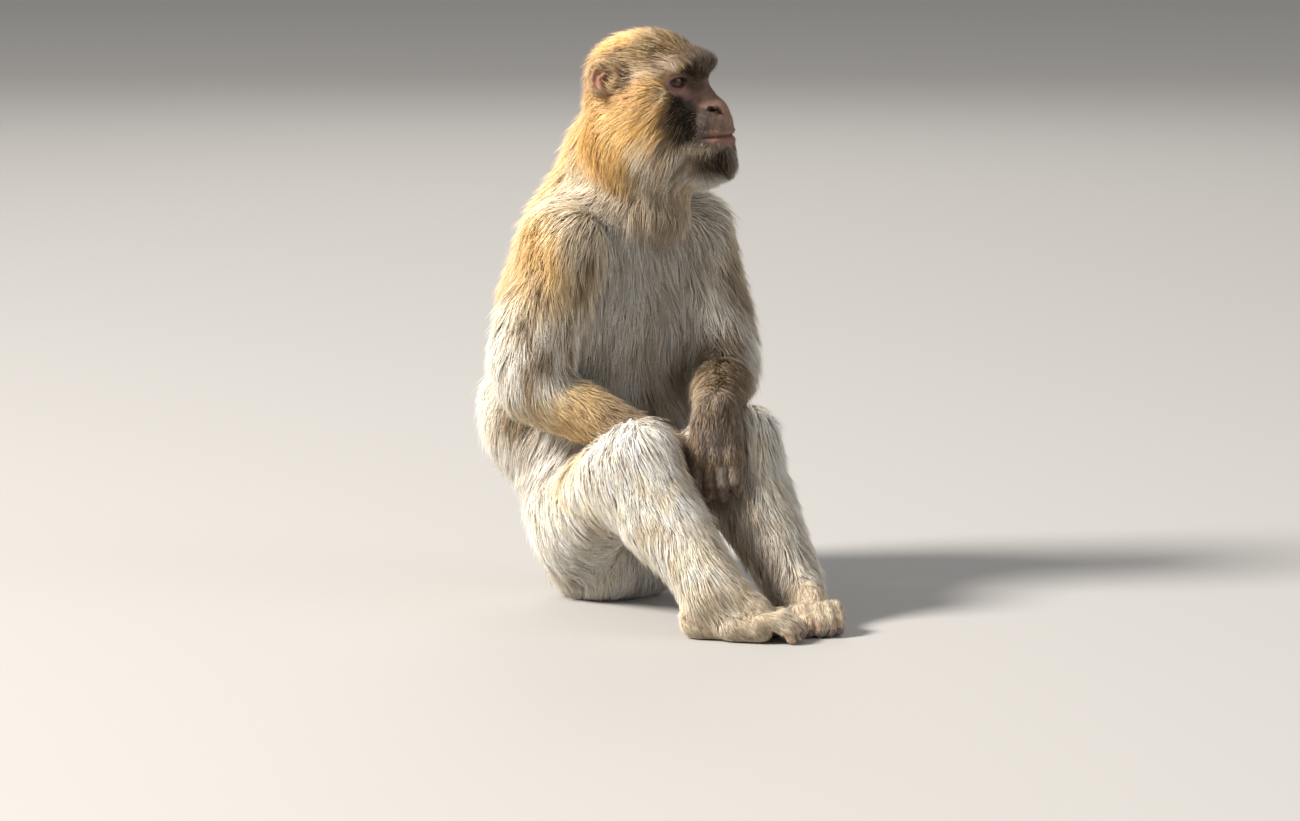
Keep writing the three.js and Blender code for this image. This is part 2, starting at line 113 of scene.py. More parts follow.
# Turn and rise of each bone and of the hand, the foot's turn, how far the fingers curl and lift,
# and where loose skin hangs off the upper arm.
POSE = {
    "right": dict(thigh=(-8, 24), shank=(15.5, -51.5), upper=(-113, -79), fore=(44, -23),
                  hand=(62, -50), foot=45, curl=12, lift=-4, loose=(-13, 8, 0)),
    "left": dict(thigh=(-2, 28), shank=(24, -66), upper=(15, -73), fore=(-35.7, -5.5),
                 hand=(-30, -86), foot=-12, curl=56, lift=8, loose=(5, 4, 0)),
}


def limb_joints(side):
    s, pose = SIDES[side], POSE[side]
    j = {"hip": pelvis.at(0, s * 43, 0), "shoulder": shoulders.at(0, s * 76, 0)}
    j["knee"] = j["hip"] + THIGH * aim(*pose["thigh"])
    j["ankle"] = j["knee"] + SHANK * aim(*pose["shank"])
    j["elbow"] = j["shoulder"] + UPPER_ARM * aim(*pose["upper"])
    j["wrist"] = j["elbow"] + FOREARM * aim(*pose["fore"])
    return j


JOINTS = {side: limb_joints(side) for side in SIDES}

# ---- rounded forms


class Bone:
    """A bone with round ends whose radius runs from ra to rb."""

    def __init__(self, a, b, ra, rb=None):
        self.a, self.way = a, b - a
        self.ra, self.rb = ra, ra if rb is None else rb
        self.low = np.minimum(a - self.ra, b - self.rb)
        self.high = np.maximum(a + self.ra, b + self.rb)

    def __call__(self, p):
        q = p - self.a.astype(p.dtype)
        way = self.way.astype(p.dtype)
        t = np.clip(q @ way / (way @ way), 0, 1)
        q -= t[:, None] * way
        return np.sqrt(dots(q, q)) - self.ra - t * (self.rb - self.ra)


class Ball:
    """An ellipsoid with its radii along the axes it stands in."""

    def __init__(self, axes, centre, radii):
        self.centre = axes.at(*centre)
        self.rows, self.radii = axes.rows, np.array(radii, float)
        reach = np.sqrt(((axes.rows * self.radii[:, None]) ** 2).sum(0))
        self.low, self.high = self.centre - reach, self.centre + reach

    def __call__(self, p):
        radii = self.radii.astype(p.dtype)
        q = ((p - self.centre.astype(p.dtype)) @ self.rows.T.astype(p.dtype)) / radii
        k = np.sqrt(dots(q, q))
        steep = np.sqrt(((q / radii) ** 2).sum(1))
        return np.where(steep > 1e-6, k * (k - 1) / np.maximum(steep, 1e-6), -self.radii.min())


def blend(a, b, rounding):
    h = np.maximum(rounding - np.abs(a - b), 0) / rounding
    return np.minimum(a, b) - h * h * rounding / 4


class Joined:
    def __init__(self, forms, rounding):
        self.forms, self.rounding = forms, rounding
        self.low = np.min([f.low for f in forms], axis=0)
        self.high = np.max([f.high for f in forms], axis=0)

    def __call__(self, p):
        d = self.forms[0](p)
        for form in self.forms[1:]:
            d = blend(d, form(p), self.rounding)
        return d


class Hollowed:
    def __init__(self, form, hollows, rounding):
        self.form, self.hollows, self.rounding = form, hollows, rounding
        self.low, self.high = form.low, form.high

    def __call__(self, p):
        d = -self.form(p)
        for hollow in self.hollows:
            d = blend(d, hollow(p), self.rounding)
        return -d


# ---- the skin's forms

PARTS = {}  # each part's form, and how widely it blends into the rest


def part(name, form, rounding):
    PARTS[name] = (form, rounding)


def both(make):
    return [make(s) for s in SIDES.values()]


def make_trunk():
    rump = [Ball(body, (-2, 0, 84), (54, 64, 63)), Ball(body, (2, 0, 34), (46, 49, 33.5))]
    rump += [Bone(body.at(4, s * 24, 14), body.at(-16, s * 22, 14), 13) for s in (-1, 1)]
    part("rump", Joined(rump, 24), 22)
    part("tail", Bone(body.at(-50, 0, 72), body.at(-78, 0, 56), 11, 5), 10)
    part("belly", Ball(body, (-40, 0, 175), (90, 96, 85)), 34)
    chest = [Ball(body, (-24, 0, 272), (84, 86, 76)), Ball(body, (-8, 0, 338), (64, 74, 48))]
    part("chest", Joined(chest, 34), 30)
    neck = [
        Bone(body.at(-6, 0, 366), body.at(20, 2, 432), 52, 39),
        Bone(head.at(16, 0, -88), head.at(34, 0, -54), 22, 17),
    ]
    part("neck", Joined(neck, 34), 26)


EYE_RADIUS = 10.2
EYES, EARS = {}, {}
for eye_side, way_out in SIDES.items():
    EYES[eye_side] = Axes(head.at(36.5, way_out * 19.5, 26), HEAD_TURN + way_out * 22, -2)
    EARS[eye_side] = Axes(head.at(-15, way_out * 55, 28), HEAD_TURN - way_out * 28)


class Head:
    """The skull and muzzle, with sockets and lids, and the small folds of the bare face."""

    def __init__(self):
        skull = [
            Ball(head, (0, 0, 17), (43, 44, 47)),
            Ball(head, (20, 0, 30), (34, 39, 30)),
            Bone(head.at(50, -21, 36), head.at(50, 21, 36), 9.5),
            Ball(head, (-22, 0, -20), (25, 36, 30)),
            *both(lambda s: Ball(head, (12, s * 27, -12), (36, 22, 32))),
            *both(lambda s: Bone(head.at(34, s * 33, 6), head.at(4, s * 42, 8), 9)),
            *both(lambda s: Bone(head.at(4, s * 25, -36), head.at(42, s * 15, -50), 18, 14)),
        ]
        muzzle = [
            Bone(head.at(38, 0, -14), head.at(59, 0, -18), 29, 22.5),
            Bone(head.at(53, 0, 22), head.at(74, 0, 3), 8, 6.4),
            Bone(head.at(73.5, -6.5, -3.5), head.at(73.5, 6.5, -3.5), 7.2),
            Bone(head.at(69.8, -7.5, -17), head.at(69.8, 7.5, -17), 14.6),
            Bone(head.at(70.4, -7, -32), head.at(70.4, 7, -32), 13.6),
            Bone(head.at(75.5, 0, -47), head.at(56, 0, -54), 14.5, 19),
            *both(lambda s: Bone(head.at(68, s * 10, -38), head.at(34, s * 22, -42), 14, 20)),
        ]
        self.face = Joined([Joined(skull, 16), Joined(muzzle, 11)], 14)
        self.sockets = both(lambda s: Ball(head, (60, s * 25, 23), (22, 17, 13)))
        self.lids, self.openings = [], []
        for eye in EYES.values():
            self.lids.append(Ball(eye, (0, 0, 0), (12.1, 12.6, 12.1)))
            self.openings.append(Ball(eye, (11.5, 0, -0.7), (8.5, 9.4, 4.5)))
        self.nostrils = both(
            lambda s: Bone(head.at(79, s * 6.5, -5), head.at(73, s * 12.6, 0.6), 3.5, 3.3)
        )
        self.low, self.high = self.face.low, self.face.high

    def __call__(self, p):
        f, l, u = head.inside(p).T
        d = self.face(p) + face_relief(f, np.abs(l), u)
        d = -blend(blend(-d, self.sockets[0](p), 6), self.sockets[1](p), 6)
        for lid in self.lids:
            d = blend(d, lid(p), 4)
        d = d + lid_folds(p)
        for holes, rounding in ((self.openings, 1.2), (self.nostrils, 1.5)):
            for hole in holes:
                d = -blend(-d, hole(p), rounding)
        return d


def mouth_line(f):
    return -24 - 3.0 * step(84 - f, 0, 22)


def face_relief(f, l, u):
    """How far the bare face is pressed in (above 0) or raised at a place of the head's axes."""
    front = step(f, 57, 64) * fade(l, 21, 26)
    v = u - mouth_line(f)
    relief = front * (1.9 * bell(v, 1.5) - 1.0 * bell(v - 4, 2.6) - 0.9 * bell(v + 4.4, 2.8))
    relief += 0.9 * bell(l, 1.5) * step(f, 76, 80) * step(u, -24, -20) * fade(u, -12, -9)
    wing = np.hypot(np.hypot(f - 73, l - 7), u + 3.5)
    relief += 0.5 * bell(wing - 9.8, 1.8) * step(f, 60, 66) * step(l, 5, 9)
    fold = l - (12 + 0.42 * (2 - u) + 0.16 * (74 - f))
    relief += 0.45 * bell(fold, 2.2) * step(f, 50, 58) * step(u, -34, -28) * fade(u, 0, 4)
    eye = np.hypot((l - 24) * 0.85, u - 25)
    under = step(24 - u, -1, 5) * step(f, 30, 38) * bell(eye - 17, 5)
    relief += 0.42 * under * np.cos(2 * math.pi * eye / 3.6)
    sides = step(f, 54, 60) * fade(f, 72, 76) * step(l, 8, 12) * step(u, -22, -14)
    relief += 0.10 * sides * np.sin(1.6 * u + 0.35 * f) * fade(u, 8, 12)
    chin = step(f, 62, 68) * bell(u + 40, 3.0) * fade(l, 14, 20)
    return relief + 0.8 * chin


def lid_folds(p):
    """Thin creases over and under each lid."""
    fold = 0
    for eye in EYES.values():
        f, l, u = eye.inside(p).T
        r = np.sqrt(f * f + l * l + u * u)
        ring = np.hypot(u * 1.55, l * 0.86)
        near = step(f, 2, 6) * bell(r - 13, 5)
        fold = fold + near * (0.55 * bell(ring - 13.2, 1.0) - 0.5 * bell(ring - 9.6, 1.6))
    return fold


def make_head():
    part("head", Head(), 12)
    for side, s in SIDES.items():
        ear = EARS[side]
        shell = [Ball(ear, (0, s * 0.5, 1), (13, 4.2, 15)), Ball(ear, (-2, 0, -7), (9, 4.4, 9))]
        shell.append(Bone(ear.at(2, -s * 13, -2), ear.at(3, -s * 3, -3), 13, 10))
        bowl = [Ball(ear, (2, s * 4.8, 3), (8.5, 4.0, 10))]
        bowl.append(Ball(ear, (3.5, s * 3, -4), (5.5, 7, 6.5)))
        turns = [math.radians(a) for a in range(-40, 231, 27)]
        edge = [ear.at(12.2 * math.cos(a), s * 3.0, 1 + 14.2 * math.sin(a)) for a in turns]
        ridges = [Bone(a, b, 1.9) for a, b in zip(edge, edge[1:])]
        ridges += [
            Bone(ear.at(2, s * 2.4, 8), ear.at(-5, s * 2.6, 2), 1.6),
            Bone(ear.at(-5, s * 2.6, 2), ear.at(-4, s * 2.4, -7), 1.6, 2.0),
            Bone(ear.at(9, s * 3, -1), ear.at(8, s * 3.5, -6), 2.5, 2.1),
        ]
        hollowed = Hollowed(Joined(shell, 4), bowl, 2.5)
        part(f"ear_{side}", Joined([hollowed, Joined(ridges, 1.5)], 2), 5)


def make_arm(side):
    j = JOINTS[side]
    loose = [between(j["shoulder"], j["elbow"], t) + POSE[side]["loose"] for t in (0.5, 0.82)]
    arm = [Bone(j["shoulder"], j["elbow"], 32, 21.5), Bone(*loose, 25)]
    part(f"upper_arm_{side}", Joined(arm, 20), 26)
    half = between(j["elbow"], j["wrist"], 0.45)
    forearm = [Bone(j["elbow"], j["wrist"], 21.5, 14.5), Bone(j["elbow"], half, 22.5, 19.5)]
    part(f"forearm_{side}", Joined(forearm, 8), 9)


HAND_TURN = -38
FINGERS = [(-18, 0.94), (-6, 1.0), (6, 1.0), (18, 0.84)]
TOES = [(-17, 0.88), (-5.7, 1.0), (5.9, 1.0), (17, 0.9)]
TOE_BONES = {"right": [(17, 4), (14, -34), (10, -66)], "left": [(18, 14), (16, -40), (12, -88)]}
DIGITS = []  # each digit's last bone: side, "hand" or "foot", start, end, radius, way of its back


def make_hand(side):
    s, pose, wrist = SIDES[side], POSE[side], JOINTS[side]["wrist"]
    down, across, out = aim(*pose["hand"]), aim(HAND_TURN + 90), aim(HAND_TURN)

    def at(along, aside, proud=0.0):
        return wrist + along * down + aside * across + proud * out

    forms = [
        Bone(wrist, at(20, 0), 15.5, 14.5),
        Bone(at(14, -10), at(44, -15), 12, 9.6),
        Bone(at(14, 10), at(44, 15), 12, 9.6),
        Bone(at(16, 0), at(44, 0), 12, 9.8),
    ]
    for spread, reach in FINGERS:
        tip = at(44, spread, 1)
        for i, length in enumerate([24, 16, 11]):
            bent = math.radians(pose["lift"] - pose["curl"] * i)
            way = down * math.cos(bent) + out * math.sin(bent)
            end = tip + length * reach * way
            forms.append(Bone(tip, end, 5.5 - 0.35 * i, 5.1 - 0.35 * i))
            back = out * math.cos(bent) - down * math.sin(bent)
            last = (side, "hand", tip, end, 4.6, back)
            tip = end
        DIGITS.append(last)
    a, b, c = at(14, -s * 13, -3), at(38, -s * 24, -4), at(56, -s * 23, -8)
    forms += [Bone(a, b, 7.0, 5.6), Bone(b, c, 5.4, 4.6)]
    DIGITS.append((side, "hand", b, c, 4.6, unit(out - 0.9 * s * across)))
    part(f"hand_{side}", Joined(forms, 1.8), 4)


def make_leg(side):
    s, j = SIDES[side], JOINTS[side]
    hip, knee, ankle = j["hip"], j["knee"], j["ankle"]
    under, bend = hip + vec(0, -12, -30), knee + vec(s * 2, 32, -24)
    part(f"thigh_{side}", Joined([Bone(hip, knee, 35, 25), Bone(under, bend, 29, 27)], 22), 24)
    calf = knee * 0.58 + ankle * 0.42 + vec(0, 18, -8)
    shin = [Bone(knee, ankle, 24, 17.5), Bone(bend, calf, 24, 28), Bone(calf, ankle, 28, 18)]
    part(f"shin_{side}", Joined(shin, 16), 24)


def make_foot(side):
    s, ankle, turn = SIDES[side], JOINTS[side]["ankle"], POSE[side]["foot"]
    sole = Axes(vec(ankle[0], ankle[1], 0), turn)
    forms = [
        Bone(ankle, sole.at(-14, 0, 16), 17.5, 15.5),
        Bone(sole.at(-16, 0, 15), sole.at(26, 0, 15), 15, 14),
        Bone(ankle, sole.at(36, 0, 25), 17, 15),
        Bone(sole.at(18, -8, 14), sole.at(42, -10, 14), 13.5, 12.5),
        Bone(sole.at(18, 8, 14), sole.at(42, 10, 14), 13.5, 12.5),
    ]
    for spread, reach in TOES:
        tip = sole.at(44, s * spread, 20)
        for i, (length, rise) in enumerate(TOE_BONES[side]):
            way_turn = turn - s * spread * 0.35
            end = tip + length * reach * aim(way_turn, rise)
            end[2] = max(end[2], 6.0)
            forms.append(Bone(tip, end, 6.5 - 0.4 * i, 6.1 - 0.4 * i))
            last = (side, "foot", tip, end, 5.2, aim(way_turn, rise + 90))
            tip = end
        DIGITS.append(last)
    a, b, c = sole.at(12, -s * 12, 13), sole.at(34, -s * 24, 11), sole.at(50, -s * 24, 7.6)
    forms += [Bone(a, b, 10.5, 8.2), Bone(b, c, 8.2, 6.6)]
    DIGITS.append((side, "foot", b, c, 6.4, unit(vec(0, 0, 1) - 0.5 * s * sole.left)))
    part(f"foot_{side}", Joined(forms, 1.8), 8)


make_trunk()
make_head()
for make_limb in (make_leg, make_foot, make_arm, make_hand):
    for side_name in SIDES:
        make_limb(side_name)

NAMES = list(PARTS)
FLOOR = 0.6  # the skin keeps this far off the floor
FAR = 60.0  # stands for every longer distance
REACH = 32  # how far past a part's box its distance still counts


def part_distances(p):
    """Every part's distance at each point, or FAR where the point is well away from it."""
    found = np.full((len(NAMES), len(p)), FAR, p.dtype)
    for i, (form, _) in enumerate(PARTS.values()):
        near = np.all((p > form.low - REACH) & (p < form.high + REACH), axis=1)
        if near.any():
            found[i, near] = np.minimum(form(p[near]), FAR)
    return found


def field(p):
    d = np.full(len(p), FAR, p.dtype)
    for found, (_, rounding) in zip(part_distances(p), PARTS.values()):
        d = blend(d, found, rounding)
    return np.maximum(d, FLOOR - p[:, 2])


# ---- the field on a grid

CELL = 3.0
LOW = vec(-150, -330, -10)
SIZE = np.array([104, 162, 190])
CORNERS = [np.array([c & 1, (c >> 1) & 1, c >> 2]) for c in range(8)]


def grid_points(low, size, cell):
    axes = [low[i] + cell * np.arange(size[i]) for i in range(3)]
    return np.stack(np.meshgrid(*axes, indexing="ij"), -1).reshape(-1, 3).astype(np.float32)


def field_on_grid():
    d = np.full(SIZE, FAR, np.float32)
    margin = REACH + 2
    for form, rounding in PARTS.values():
        i0 = np.clip(np.floor((form.low - margin - LOW) / CELL).astype(int), 0, SIZE)
        i1 = np.clip(np.ceil((form.high + margin - LOW) / CELL).astype(int) + 1, 0, SIZE)
        cut = tuple(slice(a, b) for a, b in zip(i0, i1))
        own = form(grid_points(LOW + CELL * i0, i1 - i0, CELL)).reshape(i1 - i0)
        d[cut] = blend(d[cut], np.minimum(own, FAR), rounding)
    heights = (LOW[2] + CELL * np.arange(SIZE[2])).astype(np.float32)
    return np.maximum(d, FLOOR - heights)


def mixed(values, i, t):
    """The values on a grid, read at the share t of the way through each cell i."""
    total = 0
    for o in CORNERS:
        w = np.prod(np.where(o, t, 1 - t), axis=1)
        x, y, z = ((i + o) % values.shape[:3]).T
        total = total + w[:, None] * values[x, y, z]
    return total[:, 0] if total.shape[1] == 1 else total


class Sampled:
    """Values on the grid, read between its points."""

    def __init__(self, values, low, cell):
        self.values = values.reshape(*values.shape[:3], -1)
        self.low, self.cell = low, cell

    def at(self, p):
        q = (p - self.low) / self.cell
        i = np.clip(np.floor(q).astype(int), 0, np.array(self.values.shape[:3]) - 2)
        return mixed(self.values, i, np.clip(q - i, 0, 1))


def surface_nets(d, low, cell):
    """One vertex in each cell the surface passes through, one quad across each crossed edge."""
    inside = d < 0
    n = np.array(d.shape) - 1
    count = sum(inside[tuple(map(slice, o, n + o))].astype(np.int8) for o in CORNERS)
    cells = np.argwhere((count > 0) & (count < 8))
    index = np.full(n, -1)
    index[tuple(cells.T)] = np.arange(len(cells))
    corners = np.stack([d[tuple((cells + o).T)] for o in CORNERS], 1)
    total, hits = np.zeros((len(cells), 3)), np.zeros(len(cells))
    edges = [(a, axis) for a in range(8) for axis in range(3) if not a >> axis & 1]
    for a, axis in edges:
        start, end = corners[:, a], corners[:, a | (1 << axis)]
        crossed = (start < 0) != (end < 0)
        place = np.tile(CORNERS[a].astype(float), (crossed.sum(), 1))
        place[:, axis] = start[crossed] / (start[crossed] - end[crossed])
        total[crossed] += place
        hits[crossed] += 1
    verts = low + cell * (cells + total / hits[:, None])
    quads = []
    for axis in range(3):
        u, v = (axis + 1) % 3, (axis + 2) % 3
        at = np.argwhere(np.diff(inside, axis=axis))
        at = at[(at[:, u] > 0) & (at[:, v] > 0) & (at[:, u] < n[u]) & (at[:, v] < n[v])]
        eu, ev = np.eye(3, dtype=int)[[u, v]]
        quad = np.stack([index[tuple((at - k).T)] for k in (eu + ev, ev, 0 * eu, eu)], 1)
        quads.append(np.where(inside[tuple(at.T)][:, None], quad, quad[:, ::-1]))
    return verts, np.concatenate(quads)


def slopes(p, h=0.4):
    """The unit normal, the distance and how fast it grows, at each point."""
    d = field(p)
    g = np.stack([field(p + h * e) - d for e in np.eye(3)], 1)
    return unit(g), d, np.linalg.norm(g, axis=1) / h


def settled(p, times=3, reach=1.5):
    """The points moved onto the surface."""
    for _ in range(times):
        n, d, steep = slopes(p)
        move = np.clip(d / np.maximum(steep, 0.3), -reach, reach)
        p = p - n * move[:, None]
    return p


def refined(verts, faces, chosen):
    """Each chosen quad split into four; its neighbours take the new points into their edges."""
    middle, points = {}, list(verts)
    split, kept, made = [], [], []
    for face, wanted in zip(faces, chosen):
        (split if wanted and len(face) == 4 else kept).append(face)
    for face in split:
        edge = []
        for a, b in zip(face, face[1:] + face[:1]):
            key = (min(a, b), max(a, b))
            if key not in middle:
                middle[key] = len(points)
                points.append((points[a] + points[b]) / 2)
            edge.append(middle[key])
        made += [(face[k], edge[k], len(points), edge[k - 1]) for k in range(4)]
        points.append(sum(points[v] for v in face) / 4)
    for face in kept:
        ring = []
        for a, b in zip(face, face[1:] + face[:1]):
            ring.append(a)
            key = (min(a, b), max(a, b))
            if key in middle:
                ring.append(middle[key])
        made.append(tuple(ring))
    return np.array(points), made


def fine_places(p, level):
    """Where the skin needs smaller facets: hands, feet, face, ears; then ears, eyes, nose, mouth."""
    f, l, u = head.inside(p).T
    near = np.zeros(len(p), bool)
    for ear in EARS.values():
        near |= np.linalg.norm(p - ear.origin, axis=1) < 22
    if level == 0:
        for name in (f"{kind}_{side}" for side in SIDES for kind in ("hand", "foot")):
            form = PARTS[name][0]
            near |= np.all((p > form.low - 4) & (p < form.high + 4), axis=1)
        near |= (f > 22) & (np.abs(l) < 48) & (u > -66) & (u < 52)
    else:
        near |= (f > 60) & (np.abs(l) < 26) & (u > -42) & (u < 16)
        for eye in EYES.values():
            near |= np.linalg.norm(p - eye.origin, axis=1) < 21
    return near


def make_skin_surface():
    grid = field_on_grid()
    verts, quads = surface_nets(grid, LOW, CELL)
    faces = [tuple(q) for q in quads.tolist()]
    for level in (0, 1):
        centres = np.array([verts[f[0]] + verts[f[len(f) // 2]] for f in faces]) / 2
        verts, faces = refined(verts, faces, fine_places(centres, level))
        fine = fine_places(verts, level) if level else np.ones(len(verts), bool)
        verts[fine] = settled(verts[fine])
    return grid, verts, faces


def noise(p, size, seed):
    """Smooth noise from -1 to 1 with features of that size. Each seed gives its own."""
    table = np.random.default_rng(seed).uniform(-1, 1, (32, 32, 32, 1))
    q = p / size
    i = np.floor(q).astype(int)
    t = q - i
    return mixed(table, i, t * t * (3 - 2 * t))


# ---- markings

GOLD = vec(0.88, 0.675, 0.40)
DEEP_GOLD = vec(0.79, 0.565, 0.30)
BUFF = vec(0.93, 0.80, 0.62)
CREAM = vec(0.985, 0.95, 0.90)
PALE_GREY = vec(0.86, 0.835, 0.785)
AGOUTI = vec(0.44, 0.34, 0.24)
BROWN = vec(0.56, 0.465, 0.365)
TEMPLE = vec(0.57, 0.46, 0.36)
UMBER = vec(0.36, 0.25, 0.16)
GREY_BROWN = vec(0.53, 0.475, 0.43)
BLACK = vec(0.145, 0.115, 0.095)
WHITE = vec(0.97, 0.95, 0.90)
FACE_SKIN = vec(0.455, 0.36, 0.31)
PINK = vec(0.63, 0.475, 0.435)
NOSE = vec(0.60, 0.46, 0.40)
LIPS = vec(0.54, 0.365, 0.32)
LID_EDGE = vec(0.16, 0.10, 0.085)
NOSTRIL_SHADE = vec(0.12, 0.07, 0.06)
EAR_SKIN = vec(0.66, 0.48, 0.40)
HAND_SKIN = vec(0.43, 0.365, 0.33)
TOE_SKIN = vec(0.66, 0.56, 0.48)

PASSING = 5.0  # over about so far, one part's coat passes into the next one's

# Painted shade: darker coat where shade falls in the folds at the right hip, between the shins and
# in
# the crook of the left arm: middle, radii and strength.
SHADED_FOLDS = [
    ((-92, 4, 192), (26, 28, 15), 0.95),
    ((20, -170, 60), (22, 26, 44), 0.6),
    ((62, -92, 258), (28, 28, 24), 0.75),
]


def lerp(a, b, w):
    """From a to b by a share for each row."""
    return a + (b - a) * w[:, None]


def share(x):
    return np.clip(x, 0, 1)


def plain(colour, p):
    return np.tile(colour, (len(p), 1))


def spot(points, centre, radii):
    """1 in the middle of a soft ellipsoid, 0 outside it."""
    r = np.linalg.norm((points - np.array(centre, float)) / np.array(radii, float), axis=1)
    return fade(r, 0.6, 1.25)


def daubed(c, points, daubs):
    """Soft spots laid over the colour c in turn: each one's colour, middle, radii and strength."""
    for colour, middle, radii, strength in daubs:
        c = lerp(c, colour, spot(points, middle, radii) * strength)
    return c


def on_head(p):
    """Places ahead, aside and up from the head's middle, the same on both its sides."""
    h = head.inside(p)
    return np.column_stack([h[:, 0], np.abs(h[:, 1]), h[:, 2]])


def bareness(p):
    """1 on the bare face, 0 in the coat, at points near the head's skin."""
    m = on_head(p)
    f, l, u = m.T
    edge = noise(p, 4.0, 13) * 2.0
    muzzle = step(f + edge - 0.55 * np.maximum(l - 12, 0), 54, 61) * step(u + edge, -37, -30)
    muzzle = muzzle * fade(u, 14, 24)
    bare = np.maximum(spot(m, (44, 21, 23), (19, 19, 12.5)), spot(m, (58, 0, 15), (15, 15, 16)))
    bare = np.maximum(bare, spot(m, (57, 14, 8), (12, 12, 11)))
    return np.maximum(bare, muzzle)


def dark_patch(m):
    """The short dark hair from under the eye to the corner of the mouth, and on the chin."""
    cheek = np.maximum(spot(m, (46, 30, 0), (15, 13, 14)), spot(m, (52, 27, -14), (14, 12, 16)))
    cheek = np.maximum(cheek, spot(m, (33, 35, 12), (10, 10, 11)))
    chin = spot(m, (72, 8, -43.5), (23, 20, 14.5))
    return np.maximum(cheek, chin)


def head_colour(p):
    m = on_head(p)
    f, _, u = m.T
    mottle = noise(p, 5.0, 11)
    streak = share(0.5 + 0.9 * noise(p, 4.0, 12))
    c = lerp(plain(GOLD, p), DEEP_GOLD, share(0.4 + 0.7 * noise(p, 14.0, 15)))
    c = lerp(c, BUFF, step(-u, 20, 60) * 0.5)
    front = step(f, 6, 30) * step(u, 24, 42)
    c = lerp(c, AGOUTI * 0.56, share(front * (0.95 + 0.5 * mottle)))
    c = daubed(c, m, [
        (BLACK, (58, 8, 40), (15, 22, 17), 0.95),
        (BUFF * 0.86, (26, 36, 34), (20, 12, 8), 0.8),
        (TEMPLE, (42, 31, 39), (10, 10, 7), 0.85),
        (UMBER, (8, 34, 44), (20, 17, 15), share(0.95 + 0.5 * mottle)),
        (BROWN * 0.8, (8, 40, 26), (12, 12, 14), 0.8),
    ])
    low_cheek = step(f, 4, 28) * step(-u, 10, 30)
    c = lerp(c, PALE_GREY, low_cheek * 0.85)
    c = lerp(c, AGOUTI, low_cheek * streak * 0.75)
    c = lerp(c, GOLD * 1.06, spot(m, (16, 44, -4), (28, 20, 20)) * 0.85)
    c = lerp(c, AGOUTI, spot(m, (24, 40, -16), (24, 16, 20)) * share(1.6 * streak - 0.9) * 0.8)
    c = daubed(c, m, [
        (WHITE, (30, 40, -20), (13, 12, 10), 0.5),
        (BUFF, (60, 0, -72), (26, 26, 12), 0.7),
        (AGOUTI * 0.9, (60, 22, -38), (14, 10, 12), 0.7),
        (FACE_SKIN * 0.7, (50, 20, 10), (20, 20, 18), 1),
    ])
    c = lerp(c, FACE_SKIN * 0.66, step(f, 54, 60) * step(u, -30, -24) * 0.95)
    c = lerp(c, BLACK, spot(m, (63, 23, -9), (16, 13, 22)) * 0.95)
    c = lerp(c, BLACK, dark_patch(m) * share(0.95 - 0.3 * mottle))
    fringe = step(-u, 54, 61) * step(f, 50, 62)
    return lerp(c, WHITE, np.maximum(fringe, 0.2 * spot(m, (93, 0, -48), (9, 14, 16))) * 0.85)


def skin_tone(p):
    """The bare face's own colours."""
    m = on_head(p)
    f, l, u = m.T
    c = lerp(plain(FACE_SKIN, p), FACE_SKIN * 0.72, share(0.35 * noise(p, 7.0, 21) + 0.2))
    c = c * (1 - 0.62 * step(l, 10, 19) * fade(f, 72, 82) * fade(u, 8, 16))[:, None]
    c = daubed(c, m, [
        (PINK, (43, 21, 15), (13, 16, 10), 0.7),
        (PINK, (40, 30, 28), (10, 10, 10), 0.5),
        # painted shade beside the bridge of the nose, at the inner corner of each eye
        (FACE_SKIN * 0.62, (56, 10, 26), (10, 10, 10), 0.7),
        (FACE_SKIN * 0.52, (58, 24, -8), (14, 13, 22), 0.9),
        (NOSE, (78, 0, -6), (15, 14, 18), 0.6),
    ])
    v = u - mouth_line(f)
    lips = step(f, 58, 64) * bell(v + 1.0, 5.5) * fade(l, 20, 26)
    c = lerp(c, LIPS, lips * 0.85)
    c = lerp(c, LIPS * 0.45, step(f, 56, 62) * bell(v, 1.3) * fade(l, 21, 26))
    for side, s in SIDES.items():
        ef, el, eu = EYES[side].inside(p).T
        rim = np.sqrt((el / 9.6) ** 2 + ((eu + 0.7) / 4.7) ** 2)
        line = step(ef, 4, 7) * (0.45 + 0.55 * step(eu, -1.5, 1.5))
        c = lerp(c, LID_EDGE, line * fade(rim, 1.05, 1.35))
        # painted shade inside each nostril
        near = np.linalg.norm(head.inside(p) - vec(76, s * 9.5, -2), axis=1)
        c = lerp(c, NOSTRIL_SHADE, fade(near, 4.0, 7.5))
    return c


